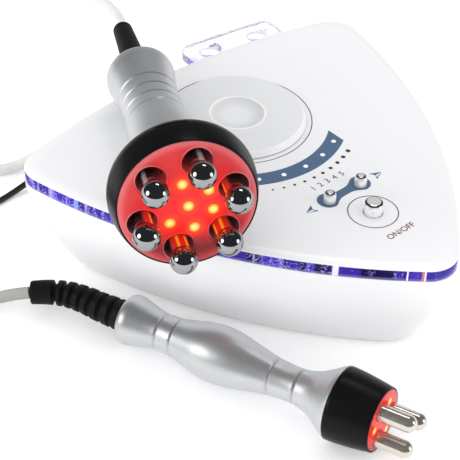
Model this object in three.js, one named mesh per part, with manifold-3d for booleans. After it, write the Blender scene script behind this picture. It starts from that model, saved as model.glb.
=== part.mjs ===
// Radio frequency beauty machine: a three-cornered console with a large six-ball handset lying on its lid, a small
// three-pin handset lying on the table in front of it, their cords and the power lead.
// Millimetres, +Z up. The user sits on the -Y side, where the console's front corner points.
// The console's own group has its origin below the middle of the dial.

import * as THREE from 'three';
import Module from 'manifold-3d';
import { mergeVertices } from 'three/addons/utils/BufferGeometryUtils.js';

const wasm = await Module();
wasm.setup();

const rad = THREE.MathUtils.degToRad;
const deg = THREE.MathUtils.radToDeg;
const lerp = THREE.MathUtils.lerp;

// Clearance between neighbours that are fitted, turned or run in each other
const GAP = 0.3;

// Where the middle of the dial stands in the part's frame, whose origin is below the middle of the whole part
const CONSOLE_X = 11.66;
const CONSOLE_Y = 52.16;

// Console outline: a triangle of arcs with its front corner towards -Y
const HALF_WIDTH = 116.9;
const FRONT_Y = -158.2;
const BACK_Y = 59.4;
const FRONT_CORNER_R = 15.9;
const BACK_CORNER_R = 16;
const SIDE_ARC_R = 329.4;
const BACK_ARC_R = 392.9;

// Console heights, lid and light band
const FOOT_HEIGHT = 1.2;
const BAND_BOTTOM_Z = 56.2;
const BAND_HEIGHT = 6.4;
const BAND_WIDTH = 3.2;
const LID_RIM_DROP = 1.6;
const LID_RIM_WIDTH = 7;
const LID_THICKNESS = 2.4;
const LIP_DEPTH = 8.5;
const LIP_WALL = 2;
const LID_EDGE_Z = BAND_BOTTOM_Z + BAND_HEIGHT;
const LID_TOP_Z = LID_EDGE_Z + LID_RIM_DROP;
const LID_UNDER_Z = LID_TOP_Z - LID_THICKNESS;

// Base shell
const HULL_DRAW_IN = 21.5; // from the band to the floor
const HULL_CURVE = 1.83; // power of the curve by which it draws in
const HULL_CORNER_GROWTH = 4;
const HULL_WALL = 2.4;
const HULL_FLOOR = 2.6;
const FLOOR_TOP_Z = FOOT_HEIGHT + HULL_FLOOR;

// Case screws, in bosses over the feet
const FRONT_SCREW_FROM_EDGE = 34.2;
const BACK_SCREW_FROM_EDGE = 39.4;
const BACK_SCREW_FROM_SIDE = 48.9;
const SCREW_R = 1.5;
const SCREW_HEAD_R = 3;
const SCREW_HEAD_HEIGHT = 2;
const SCREW_LENGTH = 14;
const BOSS_WALL = 1.7;
const BOSS_HEIGHT = 6.2; // above the floor's top
const SCREW_SEAT = 4; // boss material over the screw's head
const FOOT_R = 7;

// Dial
const DIAL_R = 38;
const DIAL_HEIGHT = 3.9;
const DIAL_BEVEL = 1.9;
const DIAL_BEVEL_HEIGHT = 3.3;
const DISH_R = 14.6;
const DISH_DEPTH = 2.1;
const DISH_FLOOR = 1.2;
const HUB_R = 6;
const HUB_LENGTH = 7;
const ENCODER_SHAFT_R = 3;
const ENCODER_SIZE = 12;
const ENCODER_HEIGHT = 5;

// Buttons and their switches
const POWER_BUTTON_Y = -104.7;
const POWER_BUTTON_R = 4.8;
const POWER_BUTTON_HEIGHT = 6.8;
const INTENSITY_BUTTON_X = 11.1;
const INTENSITY_BUTTON_Y = -84.4;
const INTENSITY_BUTTON_R = 3.3;
const INTENSITY_BUTTON_HEIGHT = 5.9;
const BUTTON_TRAVEL = 0.8;
const BUTTON_FLANGE_WIDTH = 1.2;
const BUTTON_FLANGE_THICKNESS = 1.2;
const BUTTON_STEM_R = 2.4;
const STEM_LENGTH = 1.7;
const SWITCH_SIZE = 6;
const SWITCH_BODY_HEIGHT = 3.6;
const SWITCH_ACTUATOR_R = 1.7;
const SWITCH_ACTUATOR_HEIGHT = 2.9;

// Level lights in an arc in front of the dial
const LEVEL_LIGHT_COUNT = 5;
const LEVEL_LIGHT_RING_R = 55.2;
const LEVEL_LIGHT_FIRST_DEG = -61.3;
const LEVEL_LIGHT_STEP_DEG = 14.55;
const LEVEL_LIGHT_R = 1.5;
const LEVEL_LIGHT_FOOT_WIDTH = 0.5;
const LEVEL_LIGHT_FOOT_HEIGHT = 1;
const LEVEL_LIGHT_PROUD = 0.8;

// Control board, hung from posts under the lid
const BOARD_THICKNESS = 1.6;
const BOARD_CORNER_INSET = 5; // of the posts that carry a board
const CONTROL_BOARD_MARGIN = 8;
const LID_POST_R = 2.6;
const FLANGE_BOTTOM_Z = LID_UNDER_Z - GAP - BUTTON_FLANGE_THICKNESS;
const STEM_BOTTOM_Z = FLANGE_BOTTOM_Z - STEM_LENGTH;
const SWITCH_TOP_Z = STEM_BOTTOM_Z - BUTTON_TRAVEL - GAP;
const CONTROL_BOARD_TOP_Z = SWITCH_TOP_Z - SWITCH_ACTUATOR_HEIGHT - SWITCH_BODY_HEIGHT;
const CONTROL_BOARD_HALF_WIDTH = LEVEL_LIGHT_RING_R * Math.cos(rad(LEVEL_LIGHT_FIRST_DEG)) + CONTROL_BOARD_MARGIN;
const CONTROL_BOARD_FRONT_Y = POWER_BUTTON_Y - SWITCH_SIZE / 2 - CONTROL_BOARD_MARGIN;
const CONTROL_BOARD_BACK_Y = ENCODER_SIZE / 2 + CONTROL_BOARD_MARGIN;

// Rear connector pocket
const POCKET_DEPTH = 18.4; // from the lid's back edge to the flat panel
const POCKET_MARGIN = 13;
const CONNECTOR_Z = 20;
const POWER_JACK_X = -66;
const LARGE_SOCKET_X = -42;
const SMALL_SOCKET_X = -17;
const SOCKET_FLANGE_WIDTH = 2;
const SOCKET_FLANGE_THICKNESS = 2;
const SOCKET_BARREL_R = 7;
const SOCKET_BORE_R = 5.6;
const SOCKET_BORE_DEPTH = 9;
const SOCKET_LENGTH = 16;
const JACK_FLANGE_WIDTH = 1.4;
const JACK_BARREL_R = 4.6;
const JACK_BORE_R = 3;
const JACK_BORE_DEPTH = 9;
const JACK_LENGTH = 13;
const PANEL_Y = BACK_Y - POCKET_DEPTH;
const SOCKET_FACE_Y = PANEL_Y + GAP + SOCKET_FLANGE_THICKNESS;

// Radio frequency board, on posts on the floor
const RF_BOARD_WIDTH = 96;
const RF_BOARD_DEPTH = 74;
const RF_BOARD_FROM_PANEL = 33;
const FLOOR_POST_R = 3;
const FLOOR_POST_HEIGHT = 5.9;
const TRANSFORMER_X = 18;
const TRANSFORMER_FROM_BOARD_BACK = 37;
const TRANSFORMER_WIDTH = 28;
const TRANSFORMER_DEPTH = 16;
const TRANSFORMER_HEIGHT = 20;
const WINDING_R = 11;
const WINDING_HEIGHT = 14;
const RF_BOARD_Z = FLOOR_TOP_Z + FLOOR_POST_HEIGHT + GAP;
const RF_BOARD_TOP_Z = RF_BOARD_Z + BOARD_THICKNESS;
const RF_BOARD_BACK_Y = PANEL_Y - RF_BOARD_FROM_PANEL;
const RF_BOARD_FRONT_Y = RF_BOARD_BACK_Y - RF_BOARD_DEPTH;

// Clear holder at the back edge: an arc-shaped plate with two holes and a tongue into the console
const HOLDER_DEPTH = 18.5;
const HOLDER_FROM_SIDE = 65.62; // holder's middle, in from the console's right side
const HOLDER_SPAN_DEG = 9.2;
const HOLDER_END_R = 8.5;
const HOLDER_THICKNESS = 5;
const HOLDER_HOLE_R = 6.3;
const HOLDER_HOLE_OUT = 7.6; // hole centre, out from the lid's edge
const HOLDER_HOLE_OFFSET_DEGS = [-2.25, 2.5]; // from the holder's middle
const TONGUE_THICKNESS = 3.4;
const TONGUE_SPAN_DEG = 6;
const TONGUE_PAST_LIP = 3.5;
const HOLDER_MIDDLE_Z = BAND_BOTTOM_Z + BAND_HEIGHT / 2;
const HOLDER_MIDDLE_DEG = deg(Math.asin((HALF_WIDTH - HOLDER_FROM_SIDE) / BACK_ARC_R));
const TONGUE_REACH = BAND_WIDTH + GAP + LIP_WALL + TONGUE_PAST_LIP;

// Large handset's head. Stations along a handset are measured from its face or from its tail's rim
const LARGE_LENS_R = 33.6;
const LARGE_LENS_CROWN = 1.6;
const LARGE_LENS_EDGE = 1; // depth of the lens's edge below its face
const LARGE_LENS_SKIRT = 9;
const LARGE_LENS_WALL = 2.2;
const LENS_SHOULDER = 1;
const COLLAR_LIP = 0.5;
const COLLAR_SWELL = 2.3;
const COLLAR_MAX_AT = 14.5;
const COLLAR_LENGTH = 27.2;
const COLLAR_WALL = 2.2;
const COLLAR_MOUTH_R = LARGE_LENS_R + GAP + COLLAR_LIP;
const COLLAR_MAX_R = COLLAR_MOUTH_R + COLLAR_SWELL;
const COLLAR_SEAT_R = LARGE_LENS_R - LENS_SHOULDER;
const LARGE_LIGHT_HEIGHT = 9;
const LIGHTS_INSIDE_ELECTRODES = 10.8;
const LARGE_LIGHT_DEGS = [103, 37, -15, -77, -137];
const HANDSET_LIGHT_R = 2.5;

// Ball electrodes in wells in the lens
const ELECTRODE_COUNT = 6;
const ELECTRODE_FROM_RIM = 10.4; // electrodes' centres, in from the lens's rim
const ELECTRODE_PHASE_DEG = 18.3;
const ELECTRODE_BALL_R = 6.85;
const ELECTRODE_BALL_OUT = 12.6;
const ELECTRODE_NECK_R = 5;
const STUD_R = 2.5;
const STUD_PAST_BOARD = 3.5;
const WELL_CLEARANCE = 2.5; // round the electrode's neck
const WELL_DEPTH = 9.5;
const WELL_WALL = 1.5;
const BOARD_BEHIND_WELLS = 1.4;
const ELECTRODE_RING_R = LARGE_LENS_R - ELECTRODE_FROM_RIM;
const LARGE_LIGHT_RING_R = ELECTRODE_RING_R - LIGHTS_INSIDE_ELECTRODES;
const WELL_R = ELECTRODE_NECK_R + WELL_CLEARANCE;
const LARGE_BOARD_FRONT = WELL_DEPTH + WELL_WALL + BOARD_BEHIND_WELLS;
const LARGE_BOARD_REAR = LARGE_BOARD_FRONT + BOARD_THICKNESS;

// Large handset's grip and strain relief
const LARGE_GRIP_FRONT_R = 20.2;
const LARGE_GRIP_WAIST_R = 15.9;
const LARGE_GRIP_WAIST_AT = 98;
const LARGE_GRIP_TAIL_R = 18.6;
const LARGE_GRIP_TAIL_AT = 132;
const LARGE_GRIP_END = 136;
const LARGE_GROOVE_SPACING = 10;
const GRIP_WALL = 2.3;
const GRIP_TAIL_WALL = 3;
const SPIGOT_LENGTH = 4;
const GROOVE_DEPTH = 0.5;
const GROOVE_HALF_WIDTH = 0.6;
const TAIL_HOLE_R = 6.9;
const RELIEF_FLANGE_WIDTH = 2;
const RELIEF_FLANGE_THICKNESS = 2.3;
const LARGE_RELIEF_LENGTH = 60;
const LARGE_RELIEF_ROOT_R = 7.5;
const LARGE_RELIEF_TIP_R = 5.5;
const LARGE_RELIEF_RIBS = 16;
const LARGE_RELIEF_GROOVE = 0.45;
const COLLAR_REAR_R = LARGE_GRIP_FRONT_R + 0.2;
const COLLAR_BORE_R = COLLAR_REAR_R - COLLAR_WALL;

// Where the large handset lies: its face centre, in from the lid's left and front edges, and its heading
const LARGE_FACE_FROM_LEFT = 19.6;
const LARGE_FACE_FROM_FRONT = 84;
const LARGE_YAW_DEG = -118.8;
const LARGE_FACE_X = LARGE_FACE_FROM_LEFT - HALF_WIDTH;
const LARGE_FACE_Y = FRONT_Y + LARGE_FACE_FROM_FRONT;

// Small handset
const SMALL_TAIL_R = 13.6;
const SMALL_TAIL_DEPTH = 3;
const SMALL_GROOVES = [
  [19, 9.7],
  [28, 10.5],
  [84.1, 9.7],
  [98.1, 9.2],
];
const SMALL_BULGE_AT = 52.3;
const SMALL_BULGE_R = 14.9;
const SMALL_BORE_R = 7.2;
const SMALL_FLARE_AT = 119.7;
const SMALL_FLARE_R = 18.9;
const SMALL_FACE_AT = 142.9;
const SMALL_LENS_R = 15.6;
const SMALL_LENS_THICKNESS = 5.5;
const SMALL_LENS_CROWN = 0.6;
const SMALL_CUP_LIP = 0.6;
const SMALL_CUP_WALL = 2.7;
const SMALL_BOARD_BEHIND_LENS = 3;
const SMALL_LIGHT_RING_R = 9.6;
const SMALL_LIGHT_R = 1.9;
const SMALL_LIGHT_HEIGHT = 2.6;
const PIN_COUNT = 3;
const PIN_R = 4.3;
const PIN_RING_R = 8.9;
const PIN_PHASE_DEG = 112.6;
const PIN_LENGTH = 18.8; // out of the face
const SMALL_RELIEF_ROOT_R = 8.3;
const SMALL_RELIEF_TIP_R = 5.7;
const SMALL_RELIEF_RIBS = 8;
const SMALL_RELIEF_GROOVE = 1.1;
const SMALL_FACE_R = SMALL_LENS_R + GAP + SMALL_CUP_LIP;
const SMALL_CUP_START = SMALL_FLARE_AT + GAP;
const SMALL_CUP_BORE_R = SMALL_FLARE_R - SMALL_CUP_WALL;
const SMALL_LENS_REAR = SMALL_FACE_AT - SMALL_LENS_THICKNESS;
const SMALL_BOARD_FRONT = SMALL_LENS_REAR - SMALL_BOARD_BEHIND_LENS;
const SMALL_BOARD_REAR = SMALL_BOARD_FRONT - BOARD_THICKNESS;

// Where the small handset lies: its tail rim's centre, in from the lid's left edge, and its heading
const SMALL_TAIL_FROM_LEFT = 6.1;
const SMALL_TAIL_Y = -47;
const SMALL_YAW_DEG = -72.1;
const TABLE_GAP = 0.1;

// Cords: diameters, and the turns of their coils
const HANDSET_CORD_D = 6.4;
const POWER_LEAD_D = 3.5;
const COIL_TURN_GAP = 0.7;
const COIL_LAYER_GAP = 0.6;
const LARGE_COIL = {
  x: -150,
  y: 184.5,
  innerR: 29,
  turnsPerLayer: 1.75,
  layers: 2,
  startDeg: 90,
  sense: 1,
  loopSteps: 20,
};
const SMALL_COIL = {
  x: -232,
  y: 22,
  innerR: 27,
  turnsPerLayer: 2.25,
  layers: 2,
  startDeg: 90,
  sense: 1,
  loopSteps: 20,
};
const POWER_COIL = {
  x: -150,
  y: 112,
  innerR: 15,
  turnsPerLayer: 2.25,
  layers: 4,
  startDeg: -90,
  sense: -1,
  loopSteps: 16,
};
const LOOP_SIDES = 6;

// Plugs
const PLUG_R = 7.2;
const PLUG_NOSE_LENGTH = 8.5;
const PLUG_BODY_LENGTH = 18;
const PLUG_RELIEF_LENGTH = 16;
const PLUG_RELIEF_R = 4.4;
const PLUG_RELIEF_WALL = 0.5; // round the cord at its tip
const BARREL_PLUG_R = 4.6;
const BARREL_NOSE_LENGTH = 8.5;
const BARREL_BODY_LENGTH = 14;
const BARREL_RELIEF_LENGTH = 10;
const BARREL_RELIEF_R = 2.6;

// Wall adapter
const ADAPTER_LENGTH = 58;
const ADAPTER_WIDTH = 34;
const ADAPTER_HEIGHT = 27.6;
const ADAPTER_ROUND = 5;
const ADAPTER_RELIEF_LENGTH = 22.5;
const ADAPTER_RELIEF_R = 4;
const ADAPTER_PIN_R = 2;
const ADAPTER_PIN_LENGTH = 19;
const ADAPTER_PIN_SPACING = 18.6;

// Sides of round pieces
const TINY_ROUND = 6;
const SMALL_ROUND = 10;
const MEDIUM_ROUND = 16;
const LARGE_ROUND = 24;

// How far a cutting or joining tool runs past what it cuts or joins
const OVERRUN = 1;

// Finishes
function finish(color, roughness, metalness, opacity = 1) {
  return new THREE.MeshStandardMaterial({ color, roughness, metalness, opacity, transparent: opacity < 1 });
}
const whiteGloss = () => finish(0xf4f5f7, 0.25, 0);
const violetClear = () => finish(0x4a36d8, 0.1, 0, 0.7);
const clear = () => finish(0xeceefa, 0.08, 0, 0.4);
const chrome = () => finish(0xd9dbdd, 0.06, 1);
const steel = () => finish(0xc9c6c0, 0.2, 1);
const silver = () => finish(0xc4c6c8, 0.38, 0.85);
const blackGloss = () => finish(0x121314, 0.25, 0);
const blackRubber = () => finish(0x1a1a1b, 0.7, 0);
const redLens = () => finish(0xff3b3b, 0.2, 0, 0.8);
const boardGreen = () => finish(0x1f5b3a, 0.5, 0);
const copper = () => finish(0x8a4b2a, 0.5, 0.4);
const clearLight = () => finish(0xf3f0ff, 0.1, 0, 0.8);
const whiteCord = () => finish(0xf2f2f0, 0.5, 0);
const greyCord = () => finish(0xa9a9a6, 0.5, 0);

// A closed geometry as a solid that can be cut and joined
function solid(geometry) {
  const bare = geometry.clone();
  bare.deleteAttribute('normal');
  bare.deleteAttribute('uv');
  const merged = mergeVertices(bare, 1e-4);
  const mesh = new wasm.Mesh({
    numProp: 3,
    vertProperties: new Float32Array(merged.attributes.position.array),
    triVerts: new Uint32Array(merged.index.array),
  });
  return new wasm.Manifold(mesh);
}

function geometryOf(body) {
  const mesh = body.getMesh();
  const geometry = new THREE.BufferGeometry();
  geometry.setAttribute('position', new THREE.BufferAttribute(new Float32Array(mesh.vertProperties), 3));
  geometry.setIndex(new THREE.BufferAttribute(new Uint32Array(mesh.triVerts), 1));
  geometry.computeVertexNormals();
  return geometry;
}

// The base with pieces joined on and then tools cut out
function carve(base, joined, cut) {
  let body = solid(base);
  for (const piece of joined) body = body.add(solid(piece));
  for (const tool of cut) body = body.subtract(solid(tool));
  return geometryOf(body);
}

// The same geometry with its faces outwards
function outward(geometry) {
  const flat = geometry.index ? geometry.toNonIndexed() : geometry;
  const corners = flat.attributes.position;
  const a = new THREE.Vector3();
  const b = new THREE.Vector3();
  const c = new THREE.Vector3();
  let volume = 0;
  for (let i = 0; i < corners.count; i += 3) {
    a.fromBufferAttribute(corners, i);
    b.fromBufferAttribute(corners, i + 1);
    c.fromBufferAttribute(corners, i + 2);
    volume += a.dot(b.cross(c));
  }
  if (volume >= 0) return geometry;
  for (let i = 0; i < corners.count; i += 3) {
    a.fromBufferAttribute(corners, i);
    c.fromBufferAttribute(corners, i + 2);
    corners.setXYZ(i, c.x, c.y, c.z);
    corners.setXYZ(i + 2, a.x, a.y, a.z);
  }
  return flat;
}

// A turned solid about Z, from [radius, height] points that start and end on the axis
function turned(profile, sides) {
  const geometry = new THREE.LatheGeometry(
    profile.map(([r, z]) => new THREE.Vector2(r, z)),
    sides,
  );
  geometry.rotateX(Math.PI / 2);
  return outward(geometry);
}

// A turned solid with a hole through it, from a loop of [radius, height] points
function turnedRing(loop, sides) {
  return turned([...loop, loop[0]], sides);
}

// Points of a quarter round that ends on the axis: radius r, height rise, its top at z
function crownPoints(r, rise, z, steps) {
  const points = [];
  for (let i = 0; i < steps; i += 1) {
    const angle = (Math.PI / 2) * (i / steps);
    points.push([r * Math.cos(angle), z - rise + rise * Math.sin(angle)]);
  }
  points.push([0, z]);
  return points;
}

function cylinder(radius, z0, z1, x = 0, y = 0, sides = SMALL_ROUND) {
  const geometry = new THREE.CylinderGeometry(radius, radius, z1 - z0, sides);
  geometry.rotateX(Math.PI / 2);
  geometry.translate(x, y, (z0 + z1) / 2);
  return geometry;
}

function block(x0, x1, y0, y1, z0, z1) {
  const geometry = new THREE.BoxGeometry(x1 - x0, y1 - y0, z1 - z0);
  geometry.translate((x0 + x1) / 2, (y0 + y1) / 2, (z0 + z1) / 2);
  return geometry;
}

function shapeOf(points) {
  return new THREE.Shape(points.map(([x, y]) => new THREE.Vector2(x, y)));
}

function circlePoints(radius, sides) {
  const points = [];
  for (let i = 0; i < sides; i += 1) {
    const angle = (2 * Math.PI * i) / sides;
    points.push([radius * Math.cos(angle), radius * Math.sin(angle)]);
  }
  return points;
}

// A solid through rings of equally many points: closed by fans at its ends, or back onto its first ring
function loft(rings, closesOnItself = false) {
  const count = rings[0].length;
  const positions = rings.flat().flatMap((p) => [p.x, p.y, p.z]);
  const index = [];
  const bands = closesOnItself ? rings.length : rings.length - 1;
  for (let k = 0; k < bands; k += 1) {
    const below = k * count;
    const above = ((k + 1) % rings.length) * count;
    for (let i = 0; i < count; i += 1) {
      const j = (i + 1) % count;
      index.push(below + i, below + j, above + j, below + i, above + j, above + i);
    }
  }
  const addFan = (ring, start, reversed) => {
    const centre = ring.reduce((sum, p) => sum.add(p), new THREE.Vector3()).divideScalar(count);
    const middle = positions.length / 3;
    positions.push(centre.x, centre.y, centre.z);
    for (let i = 0; i < count; i += 1) {
      const j = (i + 1) % count;
      if (reversed) index.push(start + j, start + i, middle);
      else index.push(start + i, start + j, middle);
    }
  };
  if (!closesOnItself) {
    addFan(rings[0], 0, true);
    addFan(rings[rings.length - 1], (rings.length - 1) * count, false);
  }
  const geometry = new THREE.BufferGeometry();
  geometry.setAttribute('position', new THREE.Float32BufferAttribute(positions, 3));
  geometry.setIndex(index);
  return outward(geometry);
}

// A round bar along points, with a radius at each, its sides carried along without twist
function roundBar(points, radii, sides) {
  const tangent = new THREE.Vector3();
  const side = new THREE.Vector3();
  const rings = points.map((point, i) => {
    const before = points[Math.max(i - 1, 0)];
    const after = points[Math.min(i + 1, points.length - 1)];
    tangent.subVectors(after, before).normalize();
    if (i === 0) side.set(0, 0, 1).cross(tangent);
    side.addScaledVector(tangent, -side.dot(tangent)).normalize();
    const up = tangent.clone().cross(side);
    const place = ([u, v]) => point.clone().addScaledVector(side, u).addScaledVector(up, v);
    return circlePoints(radii[i], sides).map(place);
  });
  return loft(rings);
}

function vectors(points) {
  return points.map(([x, y, z]) => new THREE.Vector3(x, y, z));
}

// The whole machine, and the console's group in it
const machine = new THREE.Group();
const consoleGroup = new THREE.Group();
consoleGroup.position.set(CONSOLE_X, CONSOLE_Y, 0);
machine.add(consoleGroup);

function add(group, name, geometry, material) {
  const mesh = new THREE.Mesh(geometry, material);
  mesh.name = name;
  group.add(mesh);
}

// Points of an arc, without its last
function arcPoints([cx, cy], radius, from, to, steps) {
  const points = [];
  for (let i = 0; i < steps; i += 1) {
    const angle = lerp(from, to, i / steps);
    points.push([cx + radius * Math.cos(angle), cy + radius * Math.sin(angle)]);
  }
  return points;
}

// The outline drawn in by an inset, from the front corner round by the right. Each arc runs into the next
function consoleOutline(inset, cornerGrowth = 0) {
  const frontR = FRONT_CORNER_R + cornerGrowth;
  const sideR = SIDE_ARC_R - inset;
  const backR = BACK_ARC_R - inset;
  const backCentre = [0, BACK_Y - BACK_ARC_R];
  const cornerX = HALF_WIDTH - inset - BACK_CORNER_R;
  const cornerCentre = [cornerX, backCentre[1] + Math.sqrt((backR - BACK_CORNER_R) ** 2 - cornerX ** 2)];
  const frontCentre = [0, FRONT_Y + inset + frontR];
  const dx = cornerCentre[0] - frontCentre[0];
  const dy = cornerCentre[1] - frontCentre[1];
  const apart = Math.hypot(dx, dy);
  const along = ((sideR - frontR) ** 2 - (sideR - BACK_CORNER_R) ** 2 + apart ** 2) / (2 * apart);
  const across = Math.sqrt((sideR - frontR) ** 2 - along ** 2);
  const sideCentre = [
    frontCentre[0] + (dx * along - dy * across) / apart,
    frontCentre[1] + (dy * along + dx * across) / apart,
  ];
  const heading = (from, to) => Math.atan2(to[1] - from[1], to[0] - from[0]);
  const frontEnd = heading(sideCentre, frontCentre);
  const sideEnd = heading(sideCentre, cornerCentre);
  const cornerEnd = heading(backCentre, cornerCentre);
  const right = [
    ...arcPoints(frontCentre, frontR, -Math.PI / 2, frontEnd, 3),
    ...arcPoints(sideCentre, sideR, frontEnd, sideEnd, 7),
    ...arcPoints(cornerCentre, BACK_CORNER_R, sideEnd, cornerEnd, 4),
    ...arcPoints(backCentre, backR, cornerEnd, Math.PI / 2, 4),
  ];
  const left = right.slice(1).reverse();
  return [...right, [0, BACK_Y - inset], ...left.map(([x, y]) => [-x, y])];
}

function outlineRing(inset, z, cornerGrowth = 0) {
  return consoleOutline(inset, cornerGrowth).map(([x, y]) => new THREE.Vector3(x, y, z));
}

// The hull's ring at a height, drawn in further by a wall
function hullRing(z, wall = 0) {
  const share = ((BAND_BOTTOM_Z - z) / (BAND_BOTTOM_Z - FOOT_HEIGHT)) ** HULL_CURVE;
  return outlineRing(HULL_DRAW_IN * share + wall, z, HULL_CORNER_GROWTH * share);
}

// How far the lid's rim has dropped at a share of its width, 1 at the lid's edge
function rimDrop(share) {
  return LID_RIM_DROP * share ** 1.5;
}

// Places on the console

const BACK_SCREW_X = HALF_WIDTH - BACK_SCREW_FROM_SIDE;
const SCREW_PLACES = [
  ['front', 0, FRONT_Y + FRONT_SCREW_FROM_EDGE],
  ['left', -BACK_SCREW_X, BACK_Y - BACK_SCREW_FROM_EDGE],
  ['right', BACK_SCREW_X, BACK_Y - BACK_SCREW_FROM_EDGE],
];
const BUTTONS = [
  ['power', 0, POWER_BUTTON_Y, POWER_BUTTON_R, POWER_BUTTON_HEIGHT],
  ['intensity_down', -INTENSITY_BUTTON_X, INTENSITY_BUTTON_Y, INTENSITY_BUTTON_R, INTENSITY_BUTTON_HEIGHT],
  ['intensity_up', INTENSITY_BUTTON_X, INTENSITY_BUTTON_Y, INTENSITY_BUTTON_R, INTENSITY_BUTTON_HEIGHT],
];
const LEVEL_LIGHT_PLACES = [];
for (let i = 0; i < LEVEL_LIGHT_COUNT; i += 1) {
  const angle = rad(LEVEL_LIGHT_FIRST_DEG - i * LEVEL_LIGHT_STEP_DEG);
  LEVEL_LIGHT_PLACES.push([LEVEL_LIGHT_RING_R * Math.cos(angle), LEVEL_LIGHT_RING_R * Math.sin(angle)]);
}

// The four post places of a board
function boardCorners(halfWidth, frontY, backY) {
  const x = halfWidth - BOARD_CORNER_INSET;
  const front = frontY + BOARD_CORNER_INSET;
  const back = backY - BOARD_CORNER_INSET;
  return [
    [-x, front],
    [x, front],
    [-x, back],
    [x, back],
  ];
}
const CONTROL_BOARD_POSTS = boardCorners(CONTROL_BOARD_HALF_WIDTH, CONTROL_BOARD_FRONT_Y, CONTROL_BOARD_BACK_Y);
const RF_BOARD_POSTS = boardCorners(RF_BOARD_WIDTH / 2, RF_BOARD_FRONT_Y, RF_BOARD_BACK_Y);

const BOSS_R = SCREW_HEAD_R + GAP + BOSS_WALL;
const BOSS_TOP_Z = FLOOR_TOP_Z + BOSS_HEIGHT;
const SCREW_HEAD_TOP_Z = BOSS_TOP_Z - SCREW_SEAT - GAP;

// Handset holder

// An arc-shaped plate along the back edge, between two distances out from it, with round outer corners
function backArcPlate(innerOut, outerOut, startDeg, endDeg, cornerR, z0, z1) {
  const at = (out, angle) => [
    (BACK_ARC_R + out) * Math.sin(rad(angle)),
    BACK_Y - BACK_ARC_R + (BACK_ARC_R + out) * Math.cos(rad(angle)),
  ];
  const cornerDeg = deg(cornerR / (BACK_ARC_R + outerOut));
  const points = [];
  const straightSteps = 6;
  const cornerSteps = cornerR > 0 ? 4 : 0;
  for (let i = 0; i <= straightSteps; i += 1) points.push(at(innerOut, lerp(startDeg, endDeg, i / straightSteps)));
  for (let i = 0; i < cornerSteps; i += 1) {
    const turn = (Math.PI / 2) * (i / cornerSteps);
    points.push(at(outerOut - cornerR * (1 - Math.sin(turn)), endDeg - cornerDeg * (1 - Math.cos(turn))));
  }
  for (let i = 0; i <= straightSteps; i += 1) {
    points.push(at(outerOut, lerp(endDeg - cornerDeg, startDeg + cornerDeg, i / straightSteps)));
  }
  for (let i = 1; i <= cornerSteps; i += 1) {
    const turn = (Math.PI / 2) * (i / cornerSteps);
    points.push(at(outerOut - cornerR * (1 - Math.cos(turn)), startDeg + cornerDeg * (1 - Math.sin(turn))));
  }
  const geometry = new THREE.ExtrudeGeometry(shapeOf(points), { depth: z1 - z0, bevelEnabled: false });
  geometry.translate(0, 0, z0);
  return outward(geometry);
}

// The tongue, grown by a clearance where it is the tool for its slot in the band and the lid's lip
function tonguePlate(clearance, outerOut) {
  const sideDeg = deg(clearance / BACK_ARC_R);
  const halfThickness = TONGUE_THICKNESS / 2 + clearance;
  return backArcPlate(
    -TONGUE_REACH - clearance,
    outerOut,
    HOLDER_MIDDLE_DEG - TONGUE_SPAN_DEG / 2 - sideDeg,
    HOLDER_MIDDLE_DEG + TONGUE_SPAN_DEG / 2 + sideDeg,
    0,
    HOLDER_MIDDLE_Z - halfThickness,
    HOLDER_MIDDLE_Z + halfThickness,
  );
}

function makeHolder() {
  const bottom = HOLDER_MIDDLE_Z - HOLDER_THICKNESS / 2;
  const top = HOLDER_MIDDLE_Z + HOLDER_THICKNESS / 2;
  const startDeg = HOLDER_MIDDLE_DEG - HOLDER_SPAN_DEG / 2;
  const endDeg = HOLDER_MIDDLE_DEG + HOLDER_SPAN_DEG / 2;
  const plate = backArcPlate(GAP, HOLDER_DEPTH, startDeg, endDeg, HOLDER_END_R, bottom, top);
  const holes = HOLDER_HOLE_OFFSET_DEGS.map((offset) => {
    const angle = HOLDER_MIDDLE_DEG + offset;
    const r = BACK_ARC_R + HOLDER_HOLE_OUT;
    const x = r * Math.sin(rad(angle));
    const y = BACK_Y - BACK_ARC_R + r * Math.cos(rad(angle));
    return cylinder(HOLDER_HOLE_R, bottom - OVERRUN, top + OVERRUN, x, y, MEDIUM_ROUND);
  });
  return carve(plate, [tonguePlate(0, GAP + OVERRUN)], holes);
}

// Lid, light band and base shell

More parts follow.
